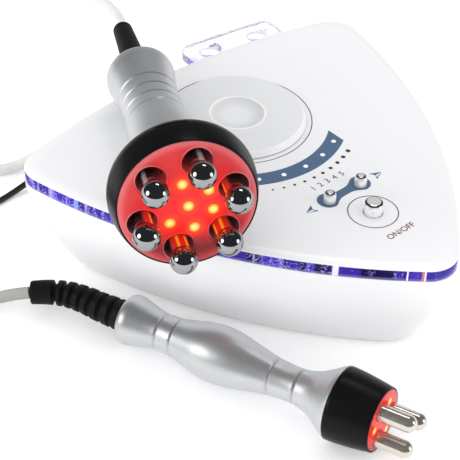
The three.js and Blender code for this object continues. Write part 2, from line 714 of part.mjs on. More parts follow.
function makeLid() {
  const lipOuter = BAND_WIDTH + GAP;
  const lipBottom = LID_EDGE_Z - LIP_DEPTH;
  const rings = [0, 0.35, 0.7, 1].map((share) =>
    outlineRing(LID_RIM_WIDTH * (1 - share), LID_TOP_Z - rimDrop(share)),
  );
  rings.push(outlineRing(lipOuter, LID_EDGE_Z));
  rings.push(outlineRing(lipOuter, lipBottom));
  rings.push(outlineRing(lipOuter + LIP_WALL, lipBottom));
  rings.push(outlineRing(lipOuter + LIP_WALL, LID_UNDER_Z));
  const joined = [];
  const cut = [tonguePlate(GAP, GAP)];
  const cutThrough = (r, x, y, sides) => {
    cut.push(cylinder(r + GAP, LID_UNDER_Z - OVERRUN, LID_TOP_Z + OVERRUN, x, y, sides));
  };
  for (const [, x, y] of SCREW_PLACES) {
    joined.push(cylinder(BOSS_R, BOSS_TOP_Z + GAP, LID_UNDER_Z + OVERRUN, x, y));
    cut.push(cylinder(SCREW_R + GAP, BOSS_TOP_Z, BOSS_TOP_Z + SCREW_LENGTH, x, y, 8));
  }
  for (const [x, y] of CONTROL_BOARD_POSTS) {
    joined.push(cylinder(LID_POST_R, CONTROL_BOARD_TOP_Z + GAP, LID_UNDER_Z + OVERRUN, x, y, 8));
  }
  cutThrough(HUB_R, 0, 0, MEDIUM_ROUND);
  for (const [, x, y, r] of BUTTONS) cutThrough(r, x, y, SMALL_ROUND);
  for (const [x, y] of LEVEL_LIGHT_PLACES) cutThrough(LEVEL_LIGHT_R, x, y, 8);
  return carve(loft(rings), joined, cut);
}

function makeLightBand() {
  const rings = [
    outlineRing(0, BAND_BOTTOM_Z),
    outlineRing(0, LID_EDGE_Z),
    outlineRing(BAND_WIDTH, LID_EDGE_Z),
    outlineRing(BAND_WIDTH, BAND_BOTTOM_Z),
  ];
  return carve(loft(rings, true), [], [tonguePlate(GAP, GAP)]);
}

// The pocket for the connectors: its space, grown by a wall where it is the outside of its walls
function pocketBlock(wall) {
  return block(
    POWER_JACK_X - POCKET_MARGIN - wall,
    SMALL_SOCKET_X + POCKET_MARGIN + wall,
    PANEL_Y - wall,
    BACK_Y + OVERRUN,
    CONNECTOR_Z - POCKET_MARGIN - wall,
    CONNECTOR_Z + POCKET_MARGIN + wall,
  );
}

function makeBaseShell() {
  const levels = [0, 0.18, 0.38, 0.6, 0.82, 1];
  const outer = levels.map((t) => hullRing(lerp(BAND_BOTTOM_Z, FOOT_HEIGHT, t)));
  const inner = levels.map((t) => hullRing(lerp(BAND_BOTTOM_Z, FLOOR_TOP_Z, t), HULL_WALL));
  const pocketWalls = solid(pocketBlock(HULL_WALL)).intersect(solid(loft(outer)));
  const joined = [geometryOf(pocketWalls)];
  const cut = [pocketBlock(0)];
  for (const [, x, y] of SCREW_PLACES) {
    joined.push(cylinder(BOSS_R, FOOT_HEIGHT + HULL_FLOOR / 2, BOSS_TOP_Z, x, y));
    cut.push(cylinder(SCREW_R + GAP, FOOT_HEIGHT, BOSS_TOP_Z + OVERRUN, x, y, 8));
    cut.push(cylinder(SCREW_HEAD_R + GAP, FOOT_HEIGHT - OVERRUN, SCREW_HEAD_TOP_Z + GAP, x, y));
  }
  for (const [x, y] of RF_BOARD_POSTS) {
    joined.push(cylinder(FLOOR_POST_R, FOOT_HEIGHT + HULL_FLOOR / 2, RF_BOARD_Z - GAP, x, y, 8));
  }
  for (const [x, r] of [
    [POWER_JACK_X, JACK_BARREL_R],
    [LARGE_SOCKET_X, SOCKET_BARREL_R],
    [SMALL_SOCKET_X, SOCKET_BARREL_R],
  ]) {
    const hole = cylinder(r + GAP, -HULL_WALL - OVERRUN, OVERRUN, 0, 0, MEDIUM_ROUND);
    hole.rotateX(-Math.PI / 2);
    hole.translate(x, PANEL_Y, CONNECTOR_Z);
    cut.push(hole);
  }
  return carve(loft([...outer.reverse(), ...inner]), joined, cut);
}

add(consoleGroup, 'lid', makeLid(), whiteGloss());
add(consoleGroup, 'light_band', makeLightBand(), violetClear());
add(consoleGroup, 'base_shell', makeBaseShell(), whiteGloss());
add(consoleGroup, 'handset_holder', makeHolder(), clear());

// Feet, whose stubs close the counterbores, and the case screws over them
function makeFoot(x, y) {
  const stubTop = SCREW_HEAD_TOP_Z - SCREW_HEAD_HEIGHT - GAP;
  const disc = cylinder(FOOT_R, 0, FOOT_HEIGHT, x, y, MEDIUM_ROUND);
  return carve(disc, [cylinder(SCREW_HEAD_R, FOOT_HEIGHT / 2, stubTop, x, y)], []);
}

function makeScrew(x, y) {
  const headBottom = SCREW_HEAD_TOP_Z - SCREW_HEAD_HEIGHT;
  const tip = SCREW_HEAD_TOP_Z + SCREW_LENGTH;
  const profile = [
    [0, headBottom],
    [SCREW_HEAD_R, headBottom],
    [SCREW_HEAD_R, SCREW_HEAD_TOP_Z],
    [SCREW_R, SCREW_HEAD_TOP_Z],
    [SCREW_R, tip],
    [0, tip],
  ];
  const geometry = turned(profile, 8);
  geometry.translate(x, y, 0);
  return geometry;
}

for (const [place, x, y] of SCREW_PLACES) {
  add(consoleGroup, `foot_${place}`, makeFoot(x, y), blackRubber());
  add(consoleGroup, `case_screw_${place}`, makeScrew(x, y), steel());
}

// Dial with its finger dish and hub, and the encoder that carries it

const DIAL_BOTTOM_Z = LID_TOP_Z + GAP;
const DIAL_TOP_Z = DIAL_BOTTOM_Z + DIAL_HEIGHT;
const DIAL_BORE_TOP_Z = DIAL_TOP_Z - DISH_DEPTH - DISH_FLOOR;

function makeDial() {
  const hubBottom = DIAL_BOTTOM_Z - HUB_LENGTH;
  const boreR = ENCODER_SHAFT_R + GAP;
  const dish = crownPoints(DISH_R, DISH_DEPTH, 0, 4).map(([r, z]) => [r, DIAL_TOP_Z - DISH_DEPTH - z]);
  const profile = [
    [0, DIAL_BORE_TOP_Z],
    [boreR, DIAL_BORE_TOP_Z],
    [boreR, hubBottom],
    [HUB_R, hubBottom],
    [HUB_R, DIAL_BOTTOM_Z],
    [DIAL_R, DIAL_BOTTOM_Z],
    [DIAL_R, DIAL_TOP_Z - DIAL_BEVEL_HEIGHT],
    [DIAL_R - DIAL_BEVEL * 0.6, DIAL_TOP_Z - DIAL_BEVEL_HEIGHT * 0.25],
    [DIAL_R - DIAL_BEVEL, DIAL_TOP_Z],
    ...dish,
  ];
  return turned(profile, LARGE_ROUND);
}

function makeEncoder() {
  const half = ENCODER_SIZE / 2;
  const bodyTop = CONTROL_BOARD_TOP_Z + ENCODER_HEIGHT;
  const body = block(-half, half, -half, half, CONTROL_BOARD_TOP_Z, bodyTop);
  return carve(body, [cylinder(ENCODER_SHAFT_R, bodyTop - OVERRUN, DIAL_BORE_TOP_Z - GAP)], []);
}

add(consoleGroup, 'dial', makeDial(), whiteGloss());
add(consoleGroup, 'dial_encoder', makeEncoder(), steel());

// Buttons: a domed cap, a flange under the lid and a stem over its switch

function makeButton(x, y, r, height) {
  const dome = Math.min(r, height) / 2;
  const profile = [
    [0, STEM_BOTTOM_Z],
    [BUTTON_STEM_R, STEM_BOTTOM_Z],
    [BUTTON_STEM_R, FLANGE_BOTTOM_Z],
    [r + BUTTON_FLANGE_WIDTH, FLANGE_BOTTOM_Z],
    [r + BUTTON_FLANGE_WIDTH, FLANGE_BOTTOM_Z + BUTTON_FLANGE_THICKNESS],
    [r, FLANGE_BOTTOM_Z + BUTTON_FLANGE_THICKNESS],
    ...crownPoints(r, dome, LID_TOP_Z + height, 3),
  ];
  const geometry = turned(profile, SMALL_ROUND);
  geometry.translate(x, y, 0);
  return geometry;
}

function makeSwitch(x, y) {
  const half = SWITCH_SIZE / 2;
  const bodyTop = CONTROL_BOARD_TOP_Z + SWITCH_BODY_HEIGHT;
  const body = block(x - half, x + half, y - half, y + half, CONTROL_BOARD_TOP_Z, bodyTop);
  return carve(body, [cylinder(SWITCH_ACTUATOR_R, bodyTop - OVERRUN, SWITCH_TOP_Z, x, y, 8)], []);
}

for (const [name, x, y, r, height] of BUTTONS) {
  add(consoleGroup, `${name}_button`, makeButton(x, y, r, height), chrome());
  add(consoleGroup, `${name}_switch`, makeSwitch(x, y), blackGloss());
}

// Level lights, standing on the control board and showing through the lid
function makeLevelLight(x, y) {
  const footR = LEVEL_LIGHT_R + LEVEL_LIGHT_FOOT_WIDTH;
  const footTop = CONTROL_BOARD_TOP_Z + LEVEL_LIGHT_FOOT_HEIGHT;
  const profile = [
    [0, CONTROL_BOARD_TOP_Z],
    [footR, CONTROL_BOARD_TOP_Z],
    [footR, footTop],
    [LEVEL_LIGHT_R, footTop],
    ...crownPoints(LEVEL_LIGHT_R, LEVEL_LIGHT_R, LID_TOP_Z + LEVEL_LIGHT_PROUD, 2),
  ];
  const geometry = turned(profile, TINY_ROUND);
  geometry.translate(x, y, 0);
  return geometry;
}
LEVEL_LIGHT_PLACES.forEach(([x, y], i) => {
  add(consoleGroup, `level_light_${i + 1}`, makeLevelLight(x, y), clearLight());
});

// Boards: each is notched round the screw posts that it comes near
function makeBoard(halfWidth, frontY, backY, topZ) {
  const bottom = topZ - BOARD_THICKNESS;
  const notches = SCREW_PLACES.map(([, x, y]) =>
    cylinder(BOSS_R + 2 * GAP, bottom - OVERRUN, topZ + OVERRUN, x, y),
  );
  return carve(block(-halfWidth, halfWidth, frontY, backY, bottom, topZ), [], notches);
}

function makeTransformer() {
  const y = RF_BOARD_BACK_Y - TRANSFORMER_FROM_BOARD_BACK;
  const halfWidth = TRANSFORMER_WIDTH / 2;
  const halfDepth = TRANSFORMER_DEPTH / 2;
  const top = RF_BOARD_TOP_Z + TRANSFORMER_HEIGHT;
  const core = block(
    TRANSFORMER_X - halfWidth,
    TRANSFORMER_X + halfWidth,
    y - halfDepth,
    y + halfDepth,
    RF_BOARD_TOP_Z,
    top,
  );
  const windingBottom = RF_BOARD_TOP_Z + (TRANSFORMER_HEIGHT - WINDING_HEIGHT) / 2;
  const winding = cylinder(WINDING_R, windingBottom, windingBottom + WINDING_HEIGHT, TRANSFORMER_X, y, MEDIUM_ROUND);
  return carve(core, [winding], []);
}

const controlBoard = makeBoard(
  CONTROL_BOARD_HALF_WIDTH,
  CONTROL_BOARD_FRONT_Y,
  CONTROL_BOARD_BACK_Y,
  CONTROL_BOARD_TOP_Z,
);
const rfBoard = makeBoard(RF_BOARD_WIDTH / 2, RF_BOARD_FRONT_Y, RF_BOARD_BACK_Y, RF_BOARD_TOP_Z);
add(consoleGroup, 'control_board', controlBoard, boardGreen());
add(consoleGroup, 'rf_board', rfBoard, boardGreen());
add(consoleGroup, 'rf_transformer', makeTransformer(), copper());

// Rear connectors: a flange on the panel, a barrel through it and a bore from the back
function makeSocket(x, flangeR, barrelR, boreR, boreDepth, length) {
  const rear = SOCKET_FACE_Y - length;
  const flangeStart = SOCKET_FACE_Y - SOCKET_FLANGE_THICKNESS;
  const profile = [
    [0, rear],
    [barrelR, rear],
    [barrelR, flangeStart],
    [flangeR, flangeStart],
    [flangeR, SOCKET_FACE_Y],
    [boreR, SOCKET_FACE_Y],
    [boreR, SOCKET_FACE_Y - boreDepth],
    [0, SOCKET_FACE_Y - boreDepth],
  ];
  const geometry = turned(profile, MEDIUM_ROUND);
  geometry.rotateX(-Math.PI / 2);
  geometry.translate(x, 0, CONNECTOR_Z);
  return geometry;
}

for (const [name, x] of [
  ['large_handset_socket', LARGE_SOCKET_X],
  ['small_handset_socket', SMALL_SOCKET_X],
]) {
  const flangeR = SOCKET_BARREL_R + SOCKET_FLANGE_WIDTH;
  const socket = makeSocket(x, flangeR, SOCKET_BARREL_R, SOCKET_BORE_R, SOCKET_BORE_DEPTH, SOCKET_LENGTH);
  add(consoleGroup, name, socket, steel());
}
const jackFlangeR = JACK_BARREL_R + JACK_FLANGE_WIDTH;
const jack = makeSocket(POWER_JACK_X, jackFlangeR, JACK_BARREL_R, JACK_BORE_R, JACK_BORE_DEPTH, JACK_LENGTH);
add(consoleGroup, 'power_jack', jack, blackGloss());

// Handsets

// A handset's axes: the first is level, the second points up, the third out of its face
function handsetAxes(yawDeg, tilt) {
  const yaw = rad(yawDeg);
  const flat = Math.cos(tilt);
  const nose = new THREE.Vector3(flat * Math.cos(yaw), flat * Math.sin(yaw), Math.sin(tilt));
  const level = new THREE.Vector3(0, 0, 1).cross(nose).normalize();
  return [level, nose.clone().cross(level), nose];
}

function handsetGroup(x, y, z, yawDeg, tilt) {
  const group = new THREE.Group();
  group.quaternion.setFromRotationMatrix(new THREE.Matrix4().makeBasis(...handsetAxes(yawDeg, tilt)));
  group.position.set(x, y, z);
  consoleGroup.add(group);
  return group;
}

function ringPlaces(radius, count, phaseDeg) {
  const places = [];
  for (let i = 0; i < count; i += 1) {
    const angle = rad(phaseDeg + (360 * i) / count);
    places.push([radius * Math.cos(angle), radius * Math.sin(angle)]);
  }
  return places;
}

// A V groove in a turned grip
function groove([at, r]) {
  return [
    [r, at - GROOVE_HALF_WIDTH],
    [r - GROOVE_DEPTH, at],
    [r, at + GROOVE_HALF_WIDTH],
  ];
}

// A light board: a disc with holes for the electrodes' studs and lights standing on it
function makeLightBoard(radius, front, studPlaces, lightPlaces, lightR, lightHeight, sides) {
  const rear = front - BOARD_THICKNESS;
  const lights = lightPlaces.map(([x, y]) => {
    const foot = front - BOARD_THICKNESS / 2;
    const profile = [[0, foot], [lightR, foot], ...crownPoints(lightR, lightR, front + lightHeight, 2)];
    const light = turned(profile, TINY_ROUND);
    light.translate(x, y, 0);
    return light;
  });
  const holes = studPlaces.map(([x, y]) => cylinder(STUD_R + GAP, rear - OVERRUN, front + OVERRUN, x, y, 8));
  return carve(cylinder(radius, rear, front, 0, 0, sides), lights, holes);
}

// Points of a strain relief's outside: ribs with a groove after each but the last
function ribPoints(length, rootR, tipR, ribs, grooveDepth) {
  const points = [];
  const pitch = length / ribs;
  for (let i = 0; i < ribs; i += 1) {
    const r = lerp(rootR, tipR, i / (ribs - 1));
    points.push([r, pitch * (i + 0.6)]);
    if (i < ribs - 1) points.push([r - grooveDepth, pitch * (i + 0.9)]);
  }
  return points;
}

// Outside of the large head's collar and of its grip, as [radius, distance behind the face]
const LARGE_COLLAR_OUTSIDE = [
  [COLLAR_MOUTH_R - COLLAR_LIP * 0.4, 0.7],
  [COLLAR_MOUTH_R, 1.2],
  [COLLAR_MOUTH_R + COLLAR_SWELL * 0.4, 4.5],
  [COLLAR_MOUTH_R + COLLAR_SWELL * 0.85, 10],
  [COLLAR_MAX_R, COLLAR_MAX_AT],
  [COLLAR_MAX_R - 1, COLLAR_MAX_AT + 4],
  [COLLAR_MAX_R - 5.2, COLLAR_MAX_AT + 7.8],
  [lerp(COLLAR_REAR_R, COLLAR_MAX_R, 0.36), COLLAR_MAX_AT + 10.3],
  [COLLAR_REAR_R + 1.2, COLLAR_LENGTH - 0.6],
  [COLLAR_REAR_R, COLLAR_LENGTH],
];
const LARGE_GRIP_OUTSIDE = [
  [LARGE_GRIP_FRONT_R, COLLAR_LENGTH + GAP],
  [LARGE_GRIP_FRONT_R - 0.8, 45],
  [LARGE_GRIP_FRONT_R - 1.8, 60],
  [LARGE_GRIP_WAIST_R + 1.3, 73],
  ...groove([LARGE_GRIP_WAIST_AT - LARGE_GROOVE_SPACING, LARGE_GRIP_WAIST_R + 0.2]),
  ...groove([LARGE_GRIP_WAIST_AT, LARGE_GRIP_WAIST_R]),
  ...groove([LARGE_GRIP_WAIST_AT + LARGE_GROOVE_SPACING, LARGE_GRIP_WAIST_R + 0.3]),
  [lerp(LARGE_GRIP_WAIST_R, LARGE_GRIP_TAIL_R, 0.6), LARGE_GRIP_TAIL_AT - 9],
  [LARGE_GRIP_TAIL_R, LARGE_GRIP_TAIL_AT],
  [LARGE_GRIP_TAIL_R - 0.2, LARGE_GRIP_END - 1.8],
  [LARGE_GRIP_TAIL_R - 1.8, LARGE_GRIP_END],
];
const LARGE_TAIL_OUTSIDE = LARGE_GRIP_OUTSIDE.slice(-4);

// The lid's height under a place: its flat top, its falling rim, or nothing past its edge
const LID_EDGE = consoleOutline(0);
function lidHeightAt(x, y) {
  let inset = Infinity;
  LID_EDGE.forEach(([x0, y0], i) => {
    const [x1, y1] = LID_EDGE[(i + 1) % LID_EDGE.length];
    const across = (x1 - x0) * (y - y0) - (y1 - y0) * (x - x0);
    inset = Math.min(inset, across / Math.hypot(x1 - x0, y1 - y0));
  });
  if (inset < 0) return -Infinity;
  return LID_TOP_Z - rimDrop(Math.max(0, 1 - inset / LID_RIM_WIDTH));
}

// How high the large handset's face centre must be for a stretch of its outside to clear the lid
function heightOverLid(outside, tilt) {
  const [level, rise, nose] = handsetAxes(LARGE_YAW_DEG, tilt);
  const point = new THREE.Vector3();
  const stretchSteps = 6;
  let height = -Infinity;
  for (let i = 1; i < outside.length; i += 1) {
    for (let k = 0; k < stretchSteps; k += 1) {
      const r = lerp(outside[i - 1][0], outside[i][0], k / stretchSteps);
      const behind = lerp(outside[i - 1][1], outside[i][1], k / stretchSteps);
      for (let angle = -150; angle <= -30; angle += 2) {
        point.set(0, 0, 0).addScaledVector(nose, -behind);
        point.addScaledVector(level, r * Math.cos(rad(angle))).addScaledVector(rise, r * Math.sin(rad(angle)));
        const below = lidHeightAt(LARGE_FACE_X + point.x, LARGE_FACE_Y + point.y);
        height = Math.max(height, below + GAP - point.z);
      }
    }
  }
  return height;
}

// The tilt at which collar and tail both rest on the lid
function restingTilt() {
  let low = rad(-10);
  let high = rad(30);
  while (high - low > 1e-6) {
    const middle = (low + high) / 2;
    const headHeight = heightOverLid(LARGE_COLLAR_OUTSIDE, middle);
    if (headHeight > heightOverLid(LARGE_TAIL_OUTSIDE, middle)) low = middle;
    else high = middle;
  }
  return low;
}

const LARGE_TILT = restingTilt();
const LARGE_FACE_Z = heightOverLid([...LARGE_COLLAR_OUTSIDE, ...LARGE_GRIP_OUTSIDE], LARGE_TILT);
console.log(`large handset: tilt ${deg(LARGE_TILT).toFixed(2)} deg, face centre at ${LARGE_FACE_Z.toFixed(2)} mm`);
const large = handsetGroup(LARGE_FACE_X, LARGE_FACE_Y, LARGE_FACE_Z, LARGE_YAW_DEG, LARGE_TILT);

// Large handset's pieces
const ELECTRODE_PLACES = ringPlaces(ELECTRODE_RING_R, ELECTRODE_COUNT, ELECTRODE_PHASE_DEG);

function makeLargeLens() {
  const innerR = LARGE_LENS_R - LARGE_LENS_WALL;
  const profile = [
    [0, LARGE_LENS_CROWN - LARGE_LENS_WALL],
    [innerR, -LARGE_LENS_EDGE - LARGE_LENS_WALL],
    [innerR, -LARGE_LENS_SKIRT],
    [LARGE_LENS_R, -LARGE_LENS_SKIRT],
    ...crownPoints(LARGE_LENS_R, LARGE_LENS_CROWN + LARGE_LENS_EDGE, LARGE_LENS_CROWN, 3),
  ];
  const wellEnd = -WELL_DEPTH - WELL_WALL;
  const wells = ELECTRODE_PLACES.map(([x, y]) => cylinder(WELL_R + WELL_WALL, wellEnd, -LARGE_LENS_EDGE, x, y));
  const cut = [];
  for (const [x, y] of ELECTRODE_PLACES) {
    cut.push(cylinder(WELL_R, -WELL_DEPTH, LARGE_LENS_CROWN + OVERRUN, x, y));
    cut.push(cylinder(STUD_R + GAP, wellEnd - OVERRUN, -WELL_DEPTH + OVERRUN, x, y, 8));
  }
  return carve(turned(profile, LARGE_ROUND), wells, cut);
}

function makeCollar() {
  const lensBoreR = LARGE_LENS_R + GAP;
  const inside = [
    [COLLAR_BORE_R, COLLAR_LENGTH],
    [COLLAR_BORE_R, COLLAR_LENGTH - SPIGOT_LENGTH + 1.4],
    [COLLAR_SEAT_R - 5, COLLAR_MAX_AT + 6],
    [COLLAR_SEAT_R - 3, COLLAR_MAX_AT + 3],
    [COLLAR_SEAT_R - 3, LARGE_BOARD_REAR + GAP],
    [COLLAR_SEAT_R, LARGE_BOARD_REAR + GAP],
    [COLLAR_SEAT_R, LARGE_LENS_SKIRT + GAP],
    [lensBoreR, LARGE_LENS_SKIRT + GAP],
    [lensBoreR, 0.7],
  ];
  const loop = [...LARGE_COLLAR_OUTSIDE, ...inside].map(([r, behind]) => [r, -behind]);
  return turnedRing(loop, LARGE_ROUND);
}

function makeElectrode(x, y) {
  const seat = -WELL_DEPTH + GAP;
  const studEnd = -LARGE_BOARD_REAR - STUD_PAST_BOARD;
  const profile = [
    [0, studEnd],
    [STUD_R, studEnd],
    [STUD_R, seat],
    [ELECTRODE_NECK_R, seat],
  ];
  const start = -Math.acos(ELECTRODE_NECK_R / ELECTRODE_BALL_R);
  const steps = 5;
  for (let i = 0; i < steps; i += 1) {
    const angle = lerp(start, Math.PI / 2, i / steps);
    profile.push([ELECTRODE_BALL_R * Math.cos(angle), ELECTRODE_BALL_OUT + ELECTRODE_BALL_R * Math.sin(angle)]);
  }
  profile.push([0, ELECTRODE_BALL_OUT + ELECTRODE_BALL_R]);
  const geometry = turned(profile, SMALL_ROUND);
  geometry.translate(x, y, 0);
  return geometry;
}

const LARGE_SPIGOT_R = COLLAR_BORE_R - GAP;
const LARGE_TAIL_WALL_AT = LARGE_GRIP_END - GRIP_TAIL_WALL;
function makeLargeGrip() {
  const inside = [
    [TAIL_HOLE_R, LARGE_GRIP_END],
    [TAIL_HOLE_R, LARGE_TAIL_WALL_AT],
    [LARGE_GRIP_WAIST_R - GRIP_WALL, LARGE_TAIL_WALL_AT],
    [LARGE_GRIP_WAIST_R - GRIP_WALL, LARGE_GRIP_WAIST_AT - LARGE_GROOVE_SPACING],
    [LARGE_SPIGOT_R - GRIP_WALL, 55],
    [LARGE_SPIGOT_R - GRIP_WALL, COLLAR_LENGTH - SPIGOT_LENGTH],
    [LARGE_SPIGOT_R, COLLAR_LENGTH - SPIGOT_LENGTH],
    [LARGE_SPIGOT_R, COLLAR_LENGTH + GAP],
  ];
  const loop = [...LARGE_GRIP_OUTSIDE, ...inside].map(([r, behind]) => [r, -behind]);
  return turnedRing(loop, LARGE_ROUND);
}

const RELIEF_NECK_R = TAIL_HOLE_R - GAP;
const RELIEF_FLANGE_R = RELIEF_NECK_R + RELIEF_FLANGE_WIDTH;
function makeLargeRelief() {
  const flangeAt = LARGE_TAIL_WALL_AT - GAP;
  const root = LARGE_GRIP_END + GAP;
  const ribs = ribPoints(
    LARGE_RELIEF_LENGTH - GAP,
    LARGE_RELIEF_ROOT_R,
    LARGE_RELIEF_TIP_R,
    LARGE_RELIEF_RIBS,
    LARGE_RELIEF_GROOVE,
  );
  const end = LARGE_GRIP_END + LARGE_RELIEF_LENGTH;
  const profile = [
    [0, flangeAt - RELIEF_FLANGE_THICKNESS],
    [RELIEF_FLANGE_R, flangeAt - RELIEF_FLANGE_THICKNESS],
    [RELIEF_FLANGE_R, flangeAt],
    [RELIEF_NECK_R, flangeAt],
    [RELIEF_NECK_R, root],
    [LARGE_RELIEF_ROOT_R, root],
    ...ribs.map(([r, along]) => [r, root + along]),
    [LARGE_RELIEF_TIP_R - 1, end],
    [0, end],
  ];
  return turned(
    profile.map(([r, behind]) => [r, -behind]),
    8,
  );
}

const largeLightPlaces = LARGE_LIGHT_DEGS.map((angle) => [
  LARGE_LIGHT_RING_R * Math.cos(rad(angle)),
  LARGE_LIGHT_RING_R * Math.sin(rad(angle)),
]);
const largeBoard = makeLightBoard(
  COLLAR_SEAT_R - GAP,
  -LARGE_BOARD_FRONT,
  ELECTRODE_PLACES,
  [[0, 0], ...largeLightPlaces],
  HANDSET_LIGHT_R,
  LARGE_LIGHT_HEIGHT,
  LARGE_ROUND,
);
add(large, 'large_lens', makeLargeLens(), redLens());
add(large, 'large_head_collar', makeCollar(), blackGloss());
add(large, 'large_light_board', largeBoard, boardGreen());
ELECTRODE_PLACES.forEach(([x, y], i) => {
  add(large, `ball_electrode_${i + 1}`, makeElectrode(x, y), chrome());
});
add(large, 'large_grip_shell', makeLargeGrip(), silver());
add(large, 'large_strain_relief', makeLargeRelief(), blackRubber());

// Small handset: it rests on the table on its tail's rim and on its flare
const SMALL_TAIL_X = SMALL_TAIL_FROM_LEFT - HALF_WIDTH;
const SMALL_TILT = Math.atan2(SMALL_FLARE_R - SMALL_TAIL_R, SMALL_FLARE_AT);
const SMALL_TAIL_Z = SMALL_TAIL_R * Math.cos(SMALL_TILT) + TABLE_GAP;
const small = handsetGroup(SMALL_TAIL_X, SMALL_TAIL_Y, SMALL_TAIL_Z, SMALL_YAW_DEG, SMALL_TILT);
const PIN_PLACES = ringPlaces(PIN_RING_R, PIN_COUNT, PIN_PHASE_DEG);

// Points of a swelling between two grooves, as [radius, distance from the tail's rim]
function swelling([startAt, startR], [middleAt, middleR], [endAt, endR], steps) {
  const points = [];
  for (let i = 1; i <= steps; i += 1) {
    const share = i / steps;
    points.push([lerp(startR, middleR, Math.sin((share * Math.PI) / 2)), lerp(startAt, middleAt, share)]);
  }
  for (let i = steps - 1; i >= 1; i -= 1) {
    const share = i / steps;
    points.push([lerp(endR, middleR, Math.sin((share * Math.PI) / 2)), lerp(endAt, middleAt, share)]);
  }
  return points;
}

function makeSmallGrip() {
  const [first, second, third, fourth] = SMALL_GROOVES;
  const spigotR = SMALL_CUP_BORE_R - GAP;
  const bulge = [SMALL_BULGE_AT, SMALL_BULGE_R];
  const outside = [
    [TAIL_HOLE_R, -SMALL_TAIL_DEPTH],
    [SMALL_TAIL_R - 2.6, -SMALL_TAIL_DEPTH],
    [SMALL_TAIL_R, 0],
    [SMALL_TAIL_R - 0.1, 2],
    [lerp(first[1], SMALL_TAIL_R, 0.6), first[0] * 0.38],
    [lerp(first[1], SMALL_TAIL_R, 0.2), first[0] * 0.7],
    ...groove(first),
    ...groove(second),
    ...swelling(second, bulge, third, 3),
    ...groove(third),
    ...groove(fourth),
    [lerp(fourth[1], SMALL_FLARE_R, 0.2), lerp(fourth[0], SMALL_FLARE_AT, 0.36)],
    [lerp(fourth[1], SMALL_FLARE_R, 0.62), lerp(fourth[0], SMALL_FLARE_AT, 0.7)],
    [SMALL_FLARE_R, SMALL_FLARE_AT],
  ];
  const inside = [
    [spigotR, SMALL_FLARE_AT],
    [spigotR, SMALL_CUP_START + SPIGOT_LENGTH],
    [spigotR - GRIP_WALL, SMALL_CUP_START + SPIGOT_LENGTH],
    [spigotR - GRIP_WALL, SMALL_FLARE_AT],
    [SMALL_BORE_R, lerp(fourth[0], SMALL_FLARE_AT, 0.4)],
    [SMALL_BORE_R, third[0]],
    [SMALL_BULGE_R - GRIP_WALL, SMALL_BULGE_AT],
    [SMALL_BORE_R, second[0]],
    [SMALL_BORE_R, first[0]],
    [RELIEF_FLANGE_R + GAP, first[0] * 0.38],
    [RELIEF_FLANGE_R + 2 * GAP, 0],
    [TAIL_HOLE_R, 0],
  ];
  return turnedRing([...outside, ...inside], MEDIUM_ROUND);
}

function makeHeadCup() {
  const length = SMALL_FACE_AT - SMALL_CUP_START;
  const outside = [0, 0.25, 0.5, 0.75, 0.97].map((share) => [
    SMALL_FLARE_R - (SMALL_FLARE_R - SMALL_FACE_R) * share ** 1.6,
    SMALL_CUP_START + length * share,
  ]);
  const boardSeatR = SMALL_LENS_R - LENS_SHOULDER;
  const innerR = boardSeatR - LENS_SHOULDER;
  const boreEnd = SMALL_CUP_START + SPIGOT_LENGTH + GAP;
  const inside = [
    [SMALL_FACE_R - SMALL_CUP_LIP * 0.4, SMALL_FACE_AT],
    [SMALL_LENS_R + GAP, SMALL_FACE_AT],
    [SMALL_LENS_R + GAP, SMALL_LENS_REAR - GAP],
    [boardSeatR, SMALL_LENS_REAR - GAP],
    [boardSeatR, SMALL_BOARD_REAR - GAP],
    [innerR, SMALL_BOARD_REAR - GAP],
    [innerR, boreEnd],
    [SMALL_CUP_BORE_R, boreEnd],
    [SMALL_CUP_BORE_R, SMALL_CUP_START],
  ];
  return turnedRing([...outside, ...inside], MEDIUM_ROUND);
}

function makeSmallLens() {
  const profile = [
    [0, SMALL_LENS_REAR],
    [SMALL_LENS_R, SMALL_LENS_REAR],
    ...crownPoints(SMALL_LENS_R, SMALL_LENS_CROWN, SMALL_FACE_AT + SMALL_LENS_CROWN, 2),
  ];
  const top = SMALL_FACE_AT + SMALL_LENS_CROWN + OVERRUN;
  const holes = PIN_PLACES.map(([x, y]) => cylinder(PIN_R + GAP, SMALL_LENS_REAR - OVERRUN, top, x, y));
  return carve(turned(profile, MEDIUM_ROUND), [], holes);
}

function makePin(x, y) {
  const seat = SMALL_BOARD_FRONT + GAP;
  const studEnd = SMALL_BOARD_REAR - STUD_PAST_BOARD;
  const profile = [
    [0, studEnd],
    [STUD_R, studEnd],
    [STUD_R, seat],
    [PIN_R, seat],
    ...crownPoints(PIN_R, PIN_R, SMALL_FACE_AT + PIN_LENGTH, 3),
  ];
  const geometry = turned(profile, SMALL_ROUND);
  geometry.translate(x, y, 0);
  return geometry;
}

const smallBoard = makeLightBoard(
  SMALL_LENS_R - LENS_SHOULDER - GAP,
  SMALL_BOARD_FRONT,
  PIN_PLACES,
  ringPlaces(SMALL_LIGHT_RING_R, PIN_COUNT, PIN_PHASE_DEG + 60),
  SMALL_LIGHT_R,
  SMALL_LIGHT_HEIGHT,
  MEDIUM_ROUND,
);
add(small, 'small_grip_shell', makeSmallGrip(), silver());
add(small, 'small_head_cup', makeHeadCup(), blackGloss());
add(small, 'small_lens', makeSmallLens(), redLens());
add(small, 'small_light_board', smallBoard, boardGreen());
PIN_PLACES.forEach(([x, y], i) => {
  add(small, `pin_electrode_${i + 1}`, makePin(x, y), steel());
});

// The small handset's strain relief bends where it lies on the table: it leaves the tail along the handset's
// axis, straight for its own thickness, and follows a route of its own
const SMALL_RELIEF_ROUTE = [
  [-119.7, -18.2, 12.5],
  [-124, -8.2, 11.9],
  [-130, -0.5, 11.3],
  [-137, 5.5, 10.8],
];

